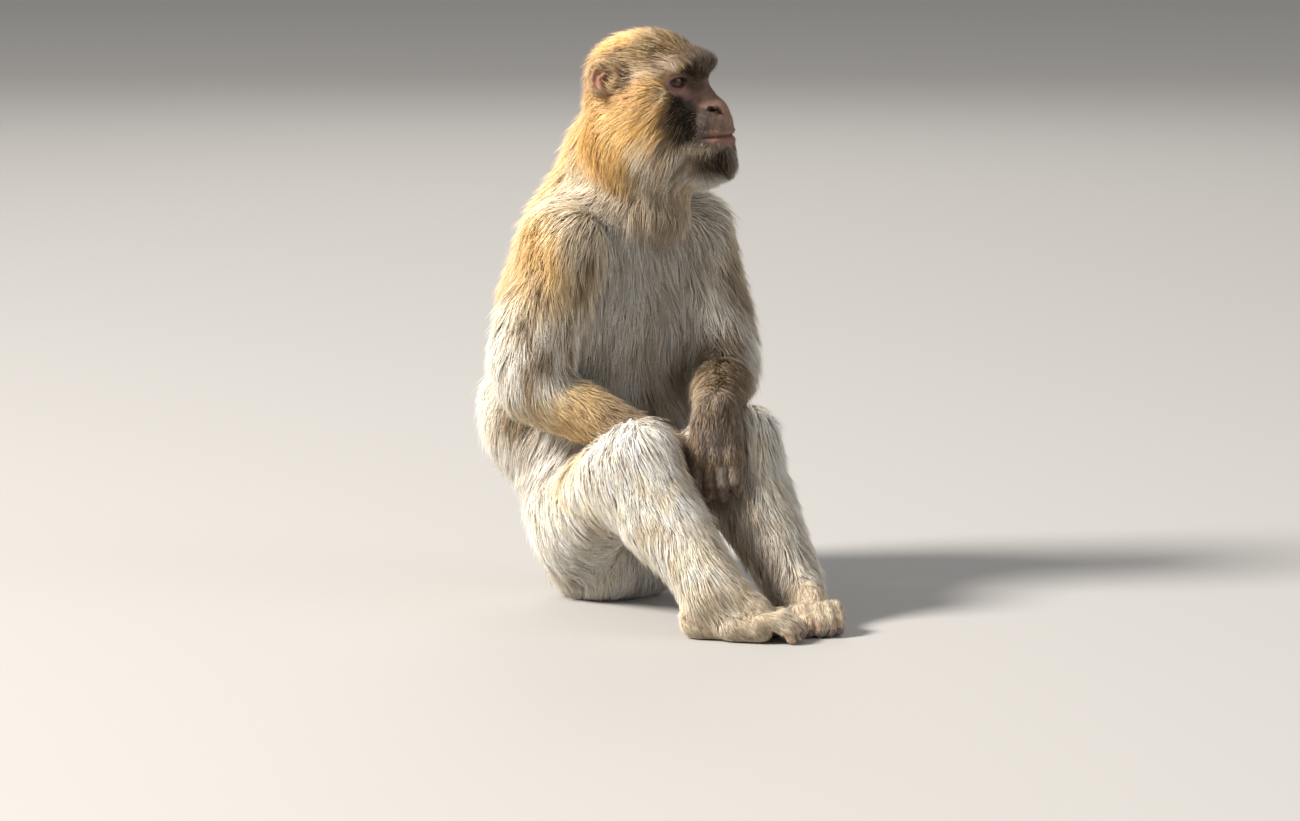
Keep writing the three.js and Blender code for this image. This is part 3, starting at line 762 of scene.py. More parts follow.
def trunk_colour(p, n):
    x, y, z = p.T
    back = np.maximum(step(y, -30, 30) * 0.9, step(n[:, 1], -0.2, 0.5))
    high = step(z + 45 * noise(p, 26.0, 33), 100, 380)
    c = lerp(plain(PALE_GREY, p), CREAM, fade(z, 60, 180) * 0.8)
    mid = bell(x - 8, 10) * (1 - back) * step(z, 130, 220)
    c = lerp(c, BROWN, mid * 0.3)
    c = lerp(c, BUFF, (1 - back) * step(z, 360, 420) * 0.5)
    # browner below the chin and ruff: the neck's own brown, and painted shade under the ruff
    c = lerp(c, BROWN, spot(p, (20, -100, 385), (60, 60, 42)) * 0.5)
    low_back = between(CREAM, BUFF, 0.25) * 0.98
    c = lerp(c, lerp(plain(low_back, p), between(GOLD, BUFF, 0.2) * 0.97, high), back)
    c = lerp(c, CREAM, spot(np.abs(p), (70, 60, 175), (42, 70, 75)) * 0.6)  # all round the flanks
    streak = step(noise(p * vec(1, 1, 0.3), 9.0, 31), 0.1, 0.7)
    c = lerp(c, BROWN, streak * (0.30 + 0.30 * high * back))
    # dark agouti below the ruff on the right of the neck: the coat's own streaks, and painted shade
    # under the ruff
    c = lerp(c, AGOUTI, spot(p, (-50, -60, 394), (44, 44, 26)) * (0.35 + 0.4 * streak))
    return lerp(c, DEEP_GOLD, back * high * share(noise(p, 22.0, 32)) * 0.6)


def limb_colours(p, n, side):
    """The coat of every part of one side's arm and leg, by the part's name."""
    j, s, left = JOINTS[side], SIDES[side], side == "left"
    patchy = noise(p, 12.0, 41)
    inner, outer = step(-n[:, 0] * s, 0.1, 0.8), step(n[:, 0] * s, -0.1, 0.6)

    def along(a, b):
        way = j[b] - j[a]
        return share((p - j[a]) @ way / (way @ way))

    t = along("shoulder", "elbow")
    arm = lerp(plain(BUFF, p), GOLD, fade(t, -0.1, 0.5) * (0.4 + 0.6 * outer))
    arm = lerp(arm, CREAM, step(t + 0.12 * patchy, 0.05, 0.62) * 0.8)
    arm = lerp(arm, PALE_GREY, (1 - outer) * 0.5)
    arm = lerp(arm, AGOUTI, step(noise(p * vec(1, 1, 0.22), 8.0, 42), 0.22, 0.55) * 0.7)
    t = along("elbow", "wrist")
    forearm = lerp(plain(BUFF, p), BROWN, step(t, 0.1, 0.7) * 0.9)
    forearm = lerp(forearm, GOLD, fade(t, 0.2, 0.6) * (0.0 if left else 0.5))
    forearm = lerp(forearm, AGOUTI, share(patchy) * 0.5 * step(t, 0.2, 0.6))
    hand = lerp(plain(GREY_BROWN, p), AGOUTI, share(0.4 + patchy) * 0.6)
    t = along("hip", "knee")
    thigh = lerp(plain(CREAM, p), BUFF, share(0.35 + 0.6 * patchy) * 0.7)
    thigh = lerp(thigh, GOLD, step(n[:, 2], 0.2, 0.9) * fade(t, 0.3, 0.9) * 0.55)
    thigh = lerp(thigh, BROWN, inner * step(t, 0.3, 0.7) * 0.45)
    t = along("knee", "ankle")
    shin = lerp(plain(CREAM, p), BUFF, share(0.25 + 0.6 * patchy + 0.4 * t) * 0.7)
    shin = lerp(shin, BROWN, inner * 0.45)
    shin = lerp(shin, BROWN, step(t, 0.75, 1.0) * 0.25)
    foot = lerp(plain(between(BUFF, CREAM, 0.4), p), BROWN, share(0.2 + 0.6 * patchy) * 0.35)
    if left:
        # painted cool shade: the left arm, turned from the light, is painted greyer
        arm = between(arm, PALE_GREY, 0.6)
        arm = lerp(arm, BROWN, spot(p, (100, -50, 310), (34, 40, 50)) * 0.7)
        # the left forearm is its own dark agouti; the crook of the elbow is painted darker still, as
        # painted shade
        crook = spot(p, (60, -100, 238), (34, 38, 32)) * 0.85
        forearm = lerp(forearm, AGOUTI * 0.66, np.maximum(0.7, crook))
        # painted cool shade: the left shin, turned from the light, is painted greyer
        shin = between(shin, PALE_GREY, 0.5)
    parts = dict(upper_arm=arm, forearm=forearm, hand=hand, thigh=thigh, shin=shin, foot=foot)
    return {f"{kind}_{side}": colour for kind, colour in parts.items()}


def closeness(p):
    """How much each point belongs to each part, summing to 1."""
    found = part_distances(p)
    w = np.exp(-(found - found.min(axis=0)) / PASSING)
    return w / w.sum(axis=0)


def coat_colour(p, n, near):
    colours = dict.fromkeys(("rump", "tail", "belly", "chest", "neck"), trunk_colour(p, n))
    colours["head"] = head_colour(p)
    for side in SIDES:
        colours[f"ear_{side}"] = GOLD * 0.5 + BROWN * 0.5
        colours.update(limb_colours(p, n, side))
    c = np.zeros((len(p), 3))
    for name, w in zip(NAMES, near):
        c += w[:, None] * colours[name]
    # painted shade in the folds at the right hip, between the shins and in the left arm's crook
    dark = np.max([spot(p, middle, radii) * much for middle, radii, much in SHADED_FOLDS], axis=0)
    return share(lerp(c, AGOUTI * 0.85, dark))


def hairiness(p, near):
    """From 0 on bare skin to 1 in the coat."""
    w = dict(zip(NAMES, near))
    hairy = 1 - bareness(p) * step(w["head"], 0.3, 0.7)
    for side, s in SIDES.items():
        f, l, u = EARS[side].inside(p).T
        bare = step(l * s, -1.5, 1.0) * fade(np.hypot(f + 2, u), 8, 14)
        bare = bare * fade(f, 0, 6)
        hairy = hairy * (1 - bare * step(w[f"ear_{side}"], 0.2, 0.5))
    ragged = 5.0 * noise(p, 3.5, 14)
    for side, kind, a, b, *_ in DIGITS:
        own = step(w[f"{kind}_{side}"], 0.3, 0.6)
        far = np.linalg.norm(p - (a + b) / 2, axis=1) + ragged
        hairy = hairy * (1 - 0.85 * own * fade(far, 7, 13))
    return share(np.where(p[:, 2] < 3.0, 0.0, hairy))


def hide_colour(p, n, near):
    """The skin's colour, the coat's with painted shade where hair covers it; and the hairiness."""
    w = dict(zip(NAMES, near))
    hairy = hairiness(p, near)
    bare = lerp(plain(BUFF * 0.8, p), EAR_SKIN * 0.95, share(w["ear_right"] + w["ear_left"]))
    bare = lerp(bare, skin_tone(p), step(w["head"], 0.2, 0.6))
    for side in SIDES:
        bare = lerp(bare, HAND_SKIN, step(w[f"hand_{side}"], 0.3, 0.7))
        bare = lerp(bare, TOE_SKIN, step(w[f"foot_{side}"], 0.3, 0.7))
    # under the hair the coat's colour is darkened: painted shade
    return lerp(bare, coat_colour(p, n, near) * 0.84, step(hairy, 0.25, 0.8)), hairy


# ---- lie of the coat


def flow(p, near):
    """The way that the coat lies: a unit vector at each point, not yet laid along the skin."""
    down = vec(0, 0, -1)
    aside = np.clip(p[:, 0] / 80, -1, 1)[:, None]
    ways = dict.fromkeys(
        ("rump", "belly", "chest"), down + aside * vec(0.25, 0, 0) + vec(0, 0.12, 0)
    )
    ways["neck"] = down + vec(0, 0.25, 0) + aside * vec(0.2, 0, 0)
    ways["tail"] = vec(0, 0.6, -0.8)
    f, l, u = head.inside(p).T
    s = np.sign(l) * step(np.abs(l), 2, 14)
    back = np.outer(-np.ones(len(p)), head.ahead)
    fall = np.outer(step(-u, -40, 30) * 0.95 + 0.1, down)
    wide = np.outer(s * (0.25 + 0.5 * step(f, 10, 50)), head.left)
    skull_way = unit(back * (0.45 + 0.75 * step(u, -20, 30))[:, None] + fall + wide)
    chin = step(f, 56, 72) * step(-u, 34, 48)
    chin_way = unit(0.7 * head.ahead - 0.9 * head.up + wide * 0.6)
    brow = step(f, 36, 46) * step(u, 28, 36)
    brow_way = unit(0.2 * head.ahead + 0.9 * head.up + wide * 1.3)
    ways["head"] = lerp(lerp(skull_way, chin_way, chin), brow_way, brow * 0.85)
    for side in SIDES:
        j = JOINTS[side]
        droop = 0.4 if side == "right" else 1.3
        ways[f"ear_{side}"] = -0.8 * head.ahead + 0.3 * head.up
        ways[f"upper_arm_{side}"] = unit(j["elbow"] - j["shoulder"]) + 0.3 * down
        ways[f"forearm_{side}"] = unit(j["wrist"] - j["elbow"]) + droop * down
        ways[f"hand_{side}"] = aim(*POSE[side]["hand"])
        ways[f"thigh_{side}"] = 0.55 * unit(j["knee"] - j["hip"]) + 0.85 * down
        ways[f"shin_{side}"] = unit(j["ankle"] - j["knee"]) + 0.2 * down
        ways[f"foot_{side}"] = aim(POSE[side]["foot"], -50)
    way = np.zeros((len(p), 3))
    for name, w in zip(NAMES, near):
        way = way + w[:, None] * ways[name]
    for side, s in SIDES.items():  # outwards over the shoulder, so that no whorl forms on its top
        top = JOINTS[side]["shoulder"] + vec(0, 0, 30)
        way = way + spot(p, top, (55, 50, 45))[:, None] * vec(1.3 * s, 0, -0.2)
    way = way + 0.22 * np.stack([noise(p, 34.0, 50 + k) for k in range(3)], 1)
    return unit(way)


DENSITY = 0.88  # the share of the tufts below that are made
STRAYS, STRAY_HEIGHT = 0.09, 1.55  # the share that stand out further, and how much
LOCK, LOCK_REACH = 9, 9  # tufts drawn to one leader, and how far off it may be
STEPS = 2  # along a tuft, from root to tip
ROOT_DEPTH = 0.5  # how far a root is sunk in the skin
CLEAR = 0.5  # nothing comes closer to the floor than this
MOST_TUFTS = 19900  # in one piece, at 10 triangles each
PATCH = 0.003  # a tuft's size on the map

# Each kind of part's coat: how high its tips stand off the skin, a tuft's length and width, tufts
# to the square millimetre, and how strongly neighbours draw together.
COAT = {
    "rump": (15, 42, 0.92, 0.25, 0.5),
    "tail": (7, 16, 0.9, 0.40, 0.3),
    "belly": (16, 42, 0.80, 0.27, 0.4),
    "chest": (16, 40, 0.76, 0.30, 0.35),
    "neck": (19, 38, 0.85, 0.35, 0.45),
    "head": (11.5, 20, 0.68, 0.85, 0.3),
    "ear": (4.5, 12, 0.42, 0.8, 0.1),
    "upper_arm": (13, 36, 0.85, 0.34, 0.45),
    "forearm": (8, 23, 0.72, 0.52, 0.3),
    "hand": (2.2, 8, 0.5, 0.8, 0.15),
    "thigh": (12, 40, 0.90, 0.34, 0.5),
    "shin": (9, 31, 0.82, 0.45, 0.45),
    "foot": (2.8, 10, 0.55, 0.72, 0.2),
}


def kind_of(name):
    return name.removesuffix("_left").removesuffix("_right")


def coat_numbers(p, near):
    """Tip height, length, width, density and draw of the coat at each point."""
    rows = np.array([COAT[kind_of(name)] for name in NAMES], float)
    height, length, width, dense, draw = (near.T @ rows).T
    on_skull = near[NAMES.index("head")]
    m = on_head(p)
    f, l, u = m.T
    ruff = on_skull * step(-u, -14, 18) * fade(f, 40, 60) * step(l, 18, 36)
    nape = on_skull * step(-f, -12, 24)
    short = on_skull * np.maximum(step(f, 44, 58), step(dark_patch(m), 0.15, 0.6))
    brow = on_skull * step(f, 34, 46) * step(u, 26, 34)
    crown = on_skull * step(u, 40, 56)
    chin = on_skull * step(f, 56, 72) * step(-u, 34, 46)
    height = height + 12 * ruff + 5 * nape + 4 * crown - 8.6 * short * (1 - brow) - 1.5 * brow
    height = height + 6 * chin
    length = length + 22 * ruff + 12 * nape - 14.5 * short * (1 - brow) - 6 * brow + 9 * chin
    width = width + 0.2 * ruff + 0.15 * nape - 0.38 * np.maximum(short, brow)
    dense = dense + 0.7 * short + 0.35 * brow - 0.3 * nape
    covered = step(hairiness(p, near), 0.2, 0.75)
    fuzz = on_skull * (1 - covered) * step(f, 57, 62) * (1 - bell(u - mouth_line(f), 4)) * (u < 12)
    height = height * (1 - fuzz) + 0.9 * fuzz
    length = length * (1 - fuzz) + 3.2 * fuzz
    width = width * (1 - fuzz) + 0.22 * fuzz
    dense = dense * covered + (0.3 + 0.5 * step(l, 12, 20)) * fuzz
    height, length = np.maximum(height, 0.6), np.maximum(length, 3.0)
    return dict(height=height, length=length, width=width, dense=dense, draw=draw)


# ---- meshes


def flat(faces):
    """The corners of every face in turn, and how many each face has."""
    return np.concatenate([np.array(f) for f in faces]), np.array([len(f) for f in faces])


def make_mesh(name, verts, corners, sizes, smooth=True):
    """A mesh from points in millimetres and its faces as flat() gives them."""
    mesh = bpy.data.meshes.new(name)
    mesh.vertices.add(len(verts))
    mesh.vertices.foreach_set("co", (verts / 1000).astype(np.float32).ravel())
    mesh.loops.add(len(corners))
    mesh.loops.foreach_set("vertex_index", corners.astype(np.int32))
    mesh.polygons.add(len(sizes))
    starts = np.concatenate([[0], np.cumsum(sizes)[:-1]])
    mesh.polygons.foreach_set("loop_start", starts.astype(np.int32))
    mesh.polygons.foreach_set("use_smooth", np.full(len(sizes), smooth))
    mesh.update(calc_edges=True)
    piece = bpy.data.objects.new(name, mesh)
    bpy.context.scene.collection.objects.link(piece)
    return piece


def paint(piece, name, colours):
    """A colour for each vertex, given as it looks on a screen."""
    linear = share(colours) ** 2.2
    rgba = np.column_stack([linear, np.ones(len(linear))]).astype(np.float32)
    attribute = piece.data.color_attributes.new(name, "FLOAT_COLOR", "POINT")
    attribute.data.foreach_set("color", rgba.ravel())


def finish_piece(piece, material):
    """Its material, the slot it takes its finish from, and the body it rides on."""
    piece.data.materials.append(material)
    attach(piece, "root")


def roots_on(verts, faces, distance):
    """Places for tufts all over the skin, as dense as the coat is there, and the normals there."""
    fan = np.array([(f[0], f[k], f[k + 1]) for f in faces for k in range(1, len(f) - 1)])
    a, b, c = (verts[fan[:, k]] for k in range(3))
    cross = np.cross(b - a, c - a)
    area, normal = np.linalg.norm(cross, axis=1) / 2, unit(cross)
    centre = verts[fan].mean(axis=1)
    numbers = coat_numbers(centre, closeness(centre))
    room = distance.at(centre + 30 * normal)
    expected = area * numbers["dense"] * DENSITY * (0.35 + 0.65 * step(room, 10, 24))
    count = np.floor(expected + rng.random(len(expected))).astype(int)
    pick = np.repeat(np.arange(len(fan)), count)
    s, t = rng.random(len(pick)), rng.random(len(pick))
    flip = s + t > 1
    s[flip], t[flip] = 1 - s[flip], 1 - t[flip]
    a, b, c = a[pick], b[pick], c[pick]
    return a + (b - a) * s[:, None] + (c - a) * t[:, None], normal[pick]


def grown(roots, normals, numbers, distance, slope, lie):
    """Each tuft's line from root to tip, the way off the skin at its points, and its leader."""
    count = len(roots)
    yaw = rng.normal(0, 0.16, count) + 0.35 * noise(roots, 11.0, 61)
    length = numbers["length"] * rng.uniform(0.7, 1.12, count)
    tip_height = numbers["height"] * rng.uniform(0.45, 1.2, count)
    tip_height *= np.where(rng.random(count) < STRAYS, STRAY_HEIGHT, 1.0)
    path, ups = [roots - normals * ROOT_DEPTH], [normals]
    p = roots.copy()
    for k in range(1, STEPS + 1):
        n = unit(slope.at(p))
        way = lie.at(p)
        way = unit(way - n * dots(way, n)[:, None])
        way = way * np.cos(yaw)[:, None] + np.cross(n, way) * np.sin(yaw)[:, None]
        p = p + way * (length / STEPS)[:, None]
        n = unit(slope.at(p))
        want = tip_height * (k / STEPS) ** 0.8
        lift = np.clip(want - distance.at(p), -length / STEPS * 0.7, length / STEPS * 0.5)
        p = p + n * lift[:, None]
        p[:, 2] = np.maximum(p[:, 2], CLEAR + 0.7)
        path.append(p.copy())
        ups.append(n)
    path, ups = np.stack(path, 1), np.stack(ups, 1)
    leaders = np.flatnonzero(rng.random(count) < 1 / LOCK)
    tree = kdtree.KDTree(len(leaders))
    for i, leader in enumerate(leaders):
        tree.insert(Vector(roots[leader]), i)
    tree.balance()
    leader = leaders[[tree.find(Vector(r))[1] for r in roots]]
    close = np.linalg.norm(roots - roots[leader], axis=1) < LOCK_REACH
    same = dots(normals, normals[leader]) > 0.4
    pull = numbers["draw"][:, None, None] * vec(0, 0.55, 1.0)[None, :, None]
    pull = pull * (close & same)[:, None, None]
    return path + pull * (path[leader] - path), ups, leader


def tuft_piece(name, path, ups, width, colour, uv):
    """Three-sided tufts: closed at the root, a ring of points half-way, and one at the tip."""
    count, points = len(path), 3 * STEPS + 1
    along = np.empty_like(path)
    along[:, :-1] = path[:, 1:] - path[:, :-1]
    along[:, -1] = along[:, -2]
    side = unit(np.cross(along, ups))
    rise = unit(np.cross(side, along))
    verts, lean = np.empty((count, points, 3)), np.empty((count, points, 3))
    corners = [
        (side * 0.5, unit(side - 0.3 * rise)),
        (-side * 0.5, unit(-side - 0.3 * rise)),
        (rise * 0.42, rise),
    ]
    for k, breadth in enumerate((0.9, 0.8)):
        for c, (offset, out) in enumerate(corners):
            verts[:, 3 * k + c] = path[:, k] + offset[:, k] * (width * breadth)[:, None]
            lean[:, 3 * k + c] = out[:, k] * 0.45 + ups[:, k] * 0.75
    verts[:, -1], lean[:, -1] = path[:, -1], ups[:, -1]
    verts[..., 2] = np.maximum(verts[..., 2], CLEAR)
    faces = [(0, 2, 1)]
    for c in range(3):
        d = (c + 1) % 3
        faces.append((c, d, d + 3, c + 3))
    faces += [(3 + c, 3 + (c + 1) % 3, 6) for c in range(3)]
    pattern, sizes = flat(faces)
    loops = (pattern[None] + (np.arange(count) * points)[:, None]).ravel()
    piece = make_mesh(name, verts.reshape(-1, 3), loops, np.tile(sizes, count))
    piece.data.normals_split_custom_set_from_vertices(unit(lean.reshape(-1, 3)).tolist())
    # darker at the root and lighter at the tip: the hair's own banding, and painted shade deep in
    # the coat
    shade = np.repeat((0.79, 1.0, 1.12), (3, 3, 1))
    paint(piece, "coat", (colour[:, None] * shade[:, None]).reshape(-1, 3))
    along_patch = np.repeat((-0.5, 0, 0.5), (3, 3, 1))
    across_patch = (-0.5, 0.5, 0, -0.5, 0.5, 0, 0)
    patch = np.stack([along_patch, across_patch], 1) * PATCH
    layer = piece.data.uv_layers.new(name="OFBake")
    spots = (uv[:, None] + patch).reshape(-1, 2)
    layer.data.foreach_set("uv", spots[loops].astype(np.float32).ravel())
    return piece


# ---- materials


def set_inputs(material, node, inputs):
    """Each input set to its value, or linked where the value is another node's output."""
    for name, value in inputs.items():
        if isinstance(value, bpy.types.NodeSocket):
            material.node_tree.links.new(value, node.inputs[name])
        else:
            node.inputs[name].default_value = value


def add_node(material, kind, inputs, **modes):
    node = material.node_tree.nodes.new(f"ShaderNode{kind}")
    for name, mode in modes.items():
        setattr(node, name, mode)
    set_inputs(material, node, inputs)
    return node.outputs


def new_material(name, settings):
    material = bpy.data.materials.new(name)
    material.use_nodes = True
    shader = material.node_tree.nodes["Principled BSDF"]
    set_inputs(material, shader, settings)
    return material, shader


def spread(material, value, low, high):
    """A value from 0 to 1 made to run from low to high."""
    inputs = {"Value": value, "To Min": low, "To Max": high}
    return add_node(material, "MapRange", inputs)["Result"]


def grain(material, scale, detail=2):
    """Where a point is on the object, and fine noise there."""
    place = add_node(material, "TexCoord", {})["Object"]
    inputs = {"Vector": place, "Scale": scale, "Detail": detail}
    return place, add_node(material, "TexNoise", inputs)["Fac"]


def mottle(material, shader, attribute, fine, depth):
    """The painted colour, made lighter and darker by fine noise, as the base colour."""
    colour = add_node(material, "Attribute", {}, attribute_name=attribute)["Color"]
    inputs = {0: colour, "Scale": spread(material, fine, 1 - depth, 1 + depth)}
    mixed_colour = add_node(material, "VectorMath", inputs, operation="SCALE")["Vector"]
    set_inputs(material, shader, {"Base Color": mixed_colour})


def coat_material():
    material, shader = new_material("coat", {
        "Roughness": 0.7,
        "Specular IOR Level": 0.2,
        "Subsurface Weight": 0.3,
        "Subsurface Radius": (0.003, 0.0024, 0.0018),
        "Subsurface Scale": 1.0,
    })
    mottle(material, shader, "coat", grain(material, 420)[1], 0.14)
    return material


def hide_material():
    material, shader = new_material("hide", {
        "Specular IOR Level": 0.35,
        "Subsurface Weight": 0.12,
        "Subsurface Radius": (0.004, 0.0018, 0.001),
    })
    place, fine = grain(material, 160, 5)
    mottle(material, shader, "hide", fine, 0.2)
    inputs = {"Vector": place, "Scale": 900}
    pores = add_node(material, "TexVoronoi", inputs, feature="DISTANCE_TO_EDGE")["Distance"]
    height = add_node(material, "Math", {0: pores, 1: 0.6, 2: fine}, operation="MULTIPLY_ADD")
    inputs = {"Strength": 0.5, "Distance": 0.0006, "Height": height["Value"]}
    hairy = add_node(material, "Attribute", {}, attribute_name="hairy")["Fac"]
    set_inputs(material, shader, {
        "Normal": add_node(material, "Bump", inputs)["Normal"],
        "Roughness": spread(material, hairy, 0.62, 0.85),
    })
    return material


def eye_material():
    material, shader = new_material("eye", {
        "Roughness": 0.25,
        "Specular IOR Level": 0.3,
        "Coat Weight": 0.4,
        "Coat Roughness": 0.04,
    })
    mottle(material, shader, "iris", grain(material, 900)[1], 0.25)
    return material


def nail_material():
    material, shader = new_material("nail", {"Roughness": 0.32})
    ramp = material.node_tree.nodes.new("ShaderNodeValToRGB")
    ramp.color_ramp.elements[0].color = (0.085, 0.065, 0.052, 1)
    ramp.color_ramp.elements[1].color = (0.17, 0.135, 0.11, 1)
    set_inputs(material, ramp, {"Fac": grain(material, 500)[1]})
    set_inputs(material, shader, {"Base Color": ramp.outputs["Color"]})
    return material


# ---- eyes and nails

PUPIL, IRIS, RING = 11, 38, 50  # each one's edge, in degrees from the middle of the gaze
IRIS_COLOUR = vec(0.34, 0.18, 0.10)


def eye_colour(reach, t):
    """The eyeball's colour at so many degrees from the gaze, t radians round it."""
    if reach < PUPIL:
        return vec(0.015, 0.012, 0.012)
    if reach < IRIS:
        ray = 0.12 * math.sin(17 * t + 1.7 * math.sin(5 * t))
        glow = 0.7 + 0.5 * (reach - PUPIL) / (IRIS - PUPIL) + ray
        return IRIS_COLOUR * glow * (0.45 if reach > IRIS - 3 else 1.0)
    return vec(0.13, 0.08, 0.065) if reach < RING else vec(0.24, 0.17, 0.145)


def make_eye(side):
    """A ball with a raised clear front, its rings centred on the way it looks."""
    gaze = Axes(EYES[side].origin, HEAD_TURN - 10, 1)
    rings, around, bulge = 40, 48, 0.9
    verts, colours = [gaze.at(EYE_RADIUS + bulge, 0, 0)], [vec(0.01, 0.01, 0.01)]
    for i in range(1, rings):
        a = math.pi * (i / rings) ** 1.35
        r = EYE_RADIUS + bulge * float(bell(np.array(a), 0.42))
        for k in range(around):
            t = 2 * math.pi * k / around
            out = r * math.sin(a)
            verts.append(gaze.at(r * math.cos(a), out * math.cos(t), out * math.sin(t)))
            colours.append(eye_colour(math.degrees(a), t))
    verts.append(gaze.at(-EYE_RADIUS, 0, 0))
    colours.append(vec(0.5, 0.4, 0.35))
    end, last = len(verts) - 1, 1 + (rings - 2) * around
    turns = [(k, (k + 1) % around) for k in range(around)]
    faces = [(0, 1 + a, 1 + b) for a, b in turns]
    for start in range(1, last, around):
        faces += [(start + a, start + around + a, start + around + b, start + b) for a, b in turns]
    faces += [(end, last + b, last + a) for a, b in turns]
    piece = make_mesh(f"eyeball_{side}", np.array(verts), *flat(faces))
    paint(piece, "iris", np.array(colours))
    return piece


def make_nails(side, kind):
    """Small curved plates, one on the back of each digit's last bone."""
    n = 7  # points along a nail, and across it
    verts, faces = [], []
    for _, _, a, b, radius, back in (d for d in DIGITS if d[:2] == (side, kind)):
        along = unit(b - a)
        back = unit(back - along * (back @ along))
        across = np.cross(along, back)
        top, low = len(verts), len(verts) + n * n
        for sunk in (0, 0.8):
            for t in (i / (n - 1) for i in range(n)):
                r = radius + 0.5 - sunk - 1.6 * max(0, t - 0.6) ** 2
                middle = b + along * radius * (-0.5 + 1.2 * t)
                narrow = 1 - 0.35 * (2 * t - 1) ** 4
                for turn in (math.radians(-48 + 96 * m / (n - 1)) for m in range(n)):
                    out = back * r * math.cos(turn) + across * r * math.sin(turn) * narrow
                    verts.append(middle + out)
        for q in (i * n + m for i in range(n - 1) for m in range(n - 1)):
            faces.append((top + q, top + q + 1, top + q + n + 1, top + q + n))
            faces.append((low + q, low + q + n, low + q + n + 1, low + q + 1))
        rim = [*range(n), *range(2 * n - 1, n * n, n)]
        rim += [*range(n * n - 2, n * n - n - 1, -1), *range(n * n - 2 * n, 0, -n)]
        faces += [(top + x, low + x, low + y, top + y) for x, y in zip(rim, rim[1:] + rim[:1])]
    verts = np.array(verts)
    verts[:, 2] = np.maximum(verts[:, 2], CLEAR)
    return make_mesh(f"nails_{kind}_{side}", verts, *flat(faces))


# ---- camera, floor and light


def put(name, data, place, way):
    """A camera or lamp at a place, looking along a way."""
    holder = bpy.data.objects.new(name, data)
    holder.location = place
    holder.rotation_mode = "QUATERNION"
    holder.rotation_quaternion = way.to_track_quat("-Z", "Y")
    bpy.context.scene.collection.objects.link(holder)
    return holder


def make_camera():
    """32 degrees to the animal's right of straight ahead, 8 up, 4.5 m from what it looks at."""
    back = Vector(aim(-32, 8))
    lens = bpy.data.cameras.new("camera")
    lens.sensor_width = 36
    lens.lens = 131.2
    lens.clip_start = 0.05
    target = Vector((0.0306, -0.0191, 0.1770))
    bpy.context.scene.camera = put("camera", lens, target + 4.5 * back, -back)


def make_light(name, place, size, power, colour):
    lamp = bpy.data.lights.new(name, "AREA")
    lamp.shape = "DISK"
    lamp.size, lamp.energy, lamp.color = size, power, colour
    target = Vector((0, -0.06, 0.28))
    put(name, lamp, place, target - Vector(place))


def make_studio():
    side = 30000
    corners = np.array([(-side, -side, 0), (side, -side, 0), (side, side, 0), (-side, side, 0)])
    floor = make_mesh("floor", corners, np.arange(4), np.array([4]), smooth=False)
    material, _ = new_material(
        "floor", {"Base Color": (0.42, 0.413, 0.403, 1), "Roughness": 0.9}
    )
    floor.data.materials.append(material)
    world = bpy.data.worlds.new("studio")
    world.use_nodes = True
    background = world.node_tree.nodes["Background"]
    background.inputs["Color"].default_value = (0.98, 0.97, 0.97, 1)
    background.inputs["Strength"].default_value = 0.36
    bpy.context.scene.world = world
    bpy.context.scene.view_settings.view_transform = "Standard"
    make_light("key", (-5.8, 0.85, 5.1), 2.2, 1300, (1.0, 0.945, 0.87))
    make_light("fill", (3.2, -4.8, 2.8), 4.0, 70, (0.97, 0.98, 1.0))
    make_light("back", (2.8, 4.4, 3.4), 3.2, 80, (1.0, 0.96, 0.9))


# ---- putting it together

GROUPS = {
    "neck": "neck", "chest": "trunk", "belly": "trunk", "rump": "rump", "tail": "rump",
    "head": "head", "ear": "head", "upper_arm": "arm", "forearm": "arm", "hand": "hand",
    "thigh": "leg", "shin": "leg", "foot": "foot",
}


def coat_groups(p, near):
    """The coat piece that each root goes to, by name."""
    groups = []
    for name in NAMES:
        group = GROUPS[kind_of(name)]
        one = group in ("neck", "trunk", "rump", "head")
        groups.append(group if one else f"{group}_{name.rsplit('_', 1)[1]}")
    group = np.array(groups, dtype=object)[near.argmax(axis=0)]
    f, _, u = head.inside(p).T
    trunk, skull = group == "trunk", group == "head"
    group[trunk] = np.where(p[trunk, 1] > -10, "trunk_back", "trunk_front")
    low = np.where(f[skull] > 22, "head_front", "head_low")
    group[skull] = np.where(u[skull] > 14, "head_top", low)
    return group


def unwrapped(p, group):
    """Each root's place on the piece's skin, rolled off round its upright or long axis."""
    q = p - (p.min(axis=0) + p.max(axis=0)) / 2
    if group.startswith(("head", "trunk", "rump", "neck")):
        axes = np.array([[0, 0, 1.0], [1, 0, 0], [0, 1, 0]])
    else:
        axes = np.linalg.svd(q[:: max(1, len(q) // 3000)], full_matrices=False)[2]
    along, aside, out = axes @ q.T
    uv = np.stack([np.arctan2(aside, out), along], 1)
    uv = (uv - uv.min(axis=0)) / np.maximum(np.ptp(uv, axis=0), 1e-6)
    return 0.004 + 0.992 * uv


def make_skin():
    grid, verts, faces = make_skin_surface()
    pieces = np.array_split(verts, 8)
    normals = np.concatenate([slopes(v)[0] for v in pieces])
    near = np.concatenate([closeness(v) for v in pieces], axis=1)
    skin = make_mesh("skin", verts, *flat(faces))
    colours, hairy = hide_colour(verts, normals, near)
    paint(skin, "hide", colours)
    attribute = skin.data.attributes.new("hairy", "FLOAT", "POINT")
    attribute.data.foreach_set("value", hairy.astype(np.float32))
    finish_piece(skin, hide_material())
    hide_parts(*(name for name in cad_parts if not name.startswith("eye_")))
    return grid, verts, faces


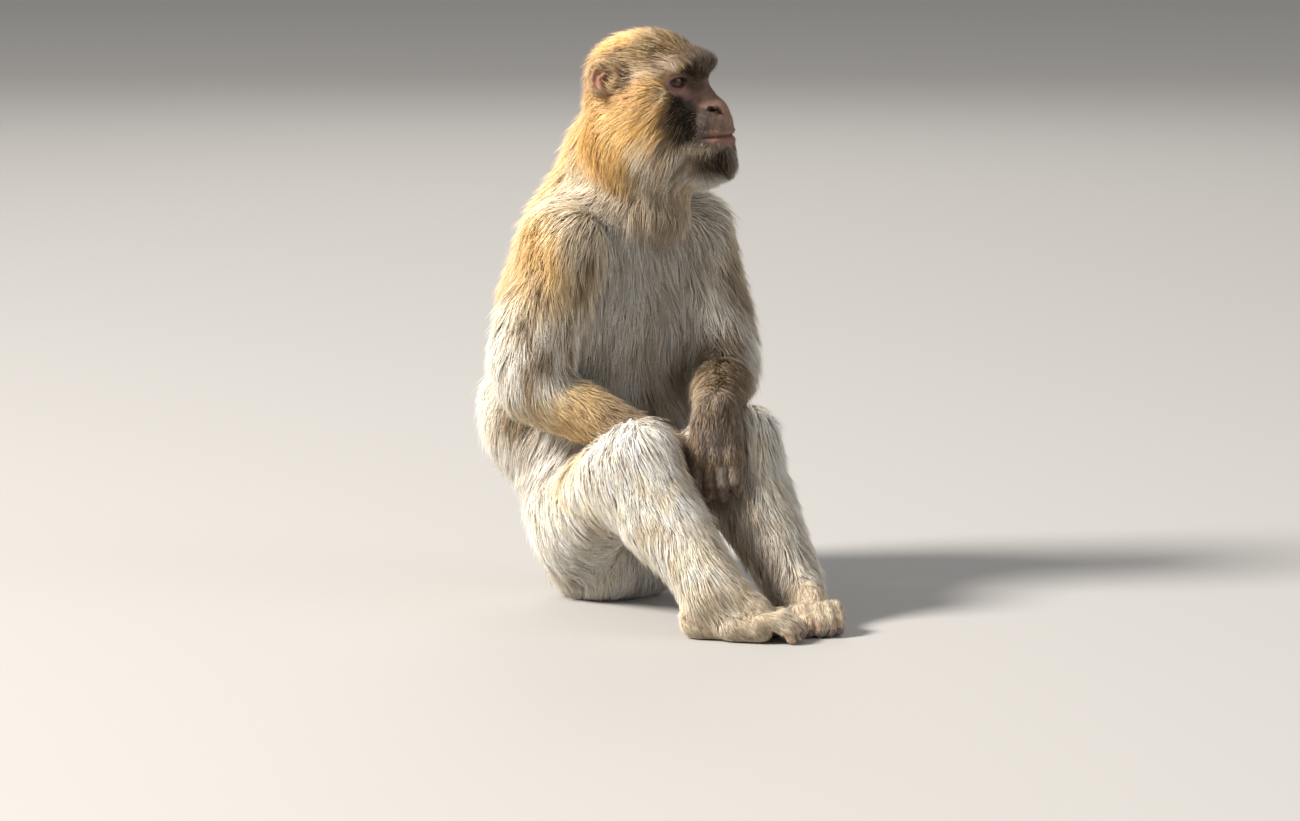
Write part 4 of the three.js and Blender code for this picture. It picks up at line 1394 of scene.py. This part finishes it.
def make_eyes_and_nails():
    eyes = {side: make_eye(side) for side in SIDES}
    eye_stuff, nail_stuff = eye_material(), nail_material()
    for side, eye in eyes.items():
        finish_piece(eye, eye_stuff)
        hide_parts(f"eye_{side}")
        for kind in ("hand", "foot"):
            finish_piece(make_nails(side, kind), nail_stuff)


def make_coat(grid, verts, faces):
    """Tufts over the whole skin, in pieces by the part they grow on."""
    distance = Sampled(grid, LOW, CELL)
    slope = Sampled(np.stack(np.gradient(grid, CELL), -1), LOW, CELL)
    coarse = 8.0
    size = np.ceil(SIZE * CELL / coarse).astype(int)
    places = grid_points(LOW, size, coarse).astype(float)
    lie = Sampled(flow(places, closeness(places)).reshape(*size, 3), LOW, coarse)

    roots, normals = roots_on(verts, faces, distance)
    near = closeness(roots)
    numbers = coat_numbers(roots, near)
    path, ups, leader = grown(roots, normals, numbers, distance, slope, lie)
    colour = coat_colour(roots, normals, near)
    lock = rng.uniform(0.86, 1.10, len(roots))
    shade = lock[leader] * rng.uniform(0.93, 1.07, len(roots))
    bright = colour.mean(axis=1)
    muzzle = head.inside(roots)[:, 0] > 56
    pale = rng.random(len(roots)) < np.where(bright < 0.5, np.where(muzzle, 0.12, 0.22), 0.08)
    colour[pale] = colour[pale] * 0.5 + BUFF * 0.5
    dark = rng.random(len(roots)) < np.where(bright > 0.5, 0.04, 0.0)
    colour[dark] = colour[dark] * 0.6 + AGOUTI * 0.4
    colour *= shade[:, None]
    groups = coat_groups(roots, near)
    stuff = coat_material()
    for name in sorted(set(groups)):
        members = np.flatnonzero(groups == name)
        order = np.argsort(unwrapped(roots[members], name)[:, 1], kind="stable")
        for i, some in enumerate(np.array_split(order, -(-len(order) // MOST_TUFTS))):
            m = members[some]
            uv = unwrapped(roots[m], name)
            width = numbers["width"][m]
            piece = tuft_piece(f"coat_{name}_{i + 1}", path[m], ups[m], width, colour[m], uv)
            finish_piece(piece, stuff)


make_camera()
make_studio()
skin_shape = make_skin()
make_eyes_and_nails()
make_coat(*skin_shape)
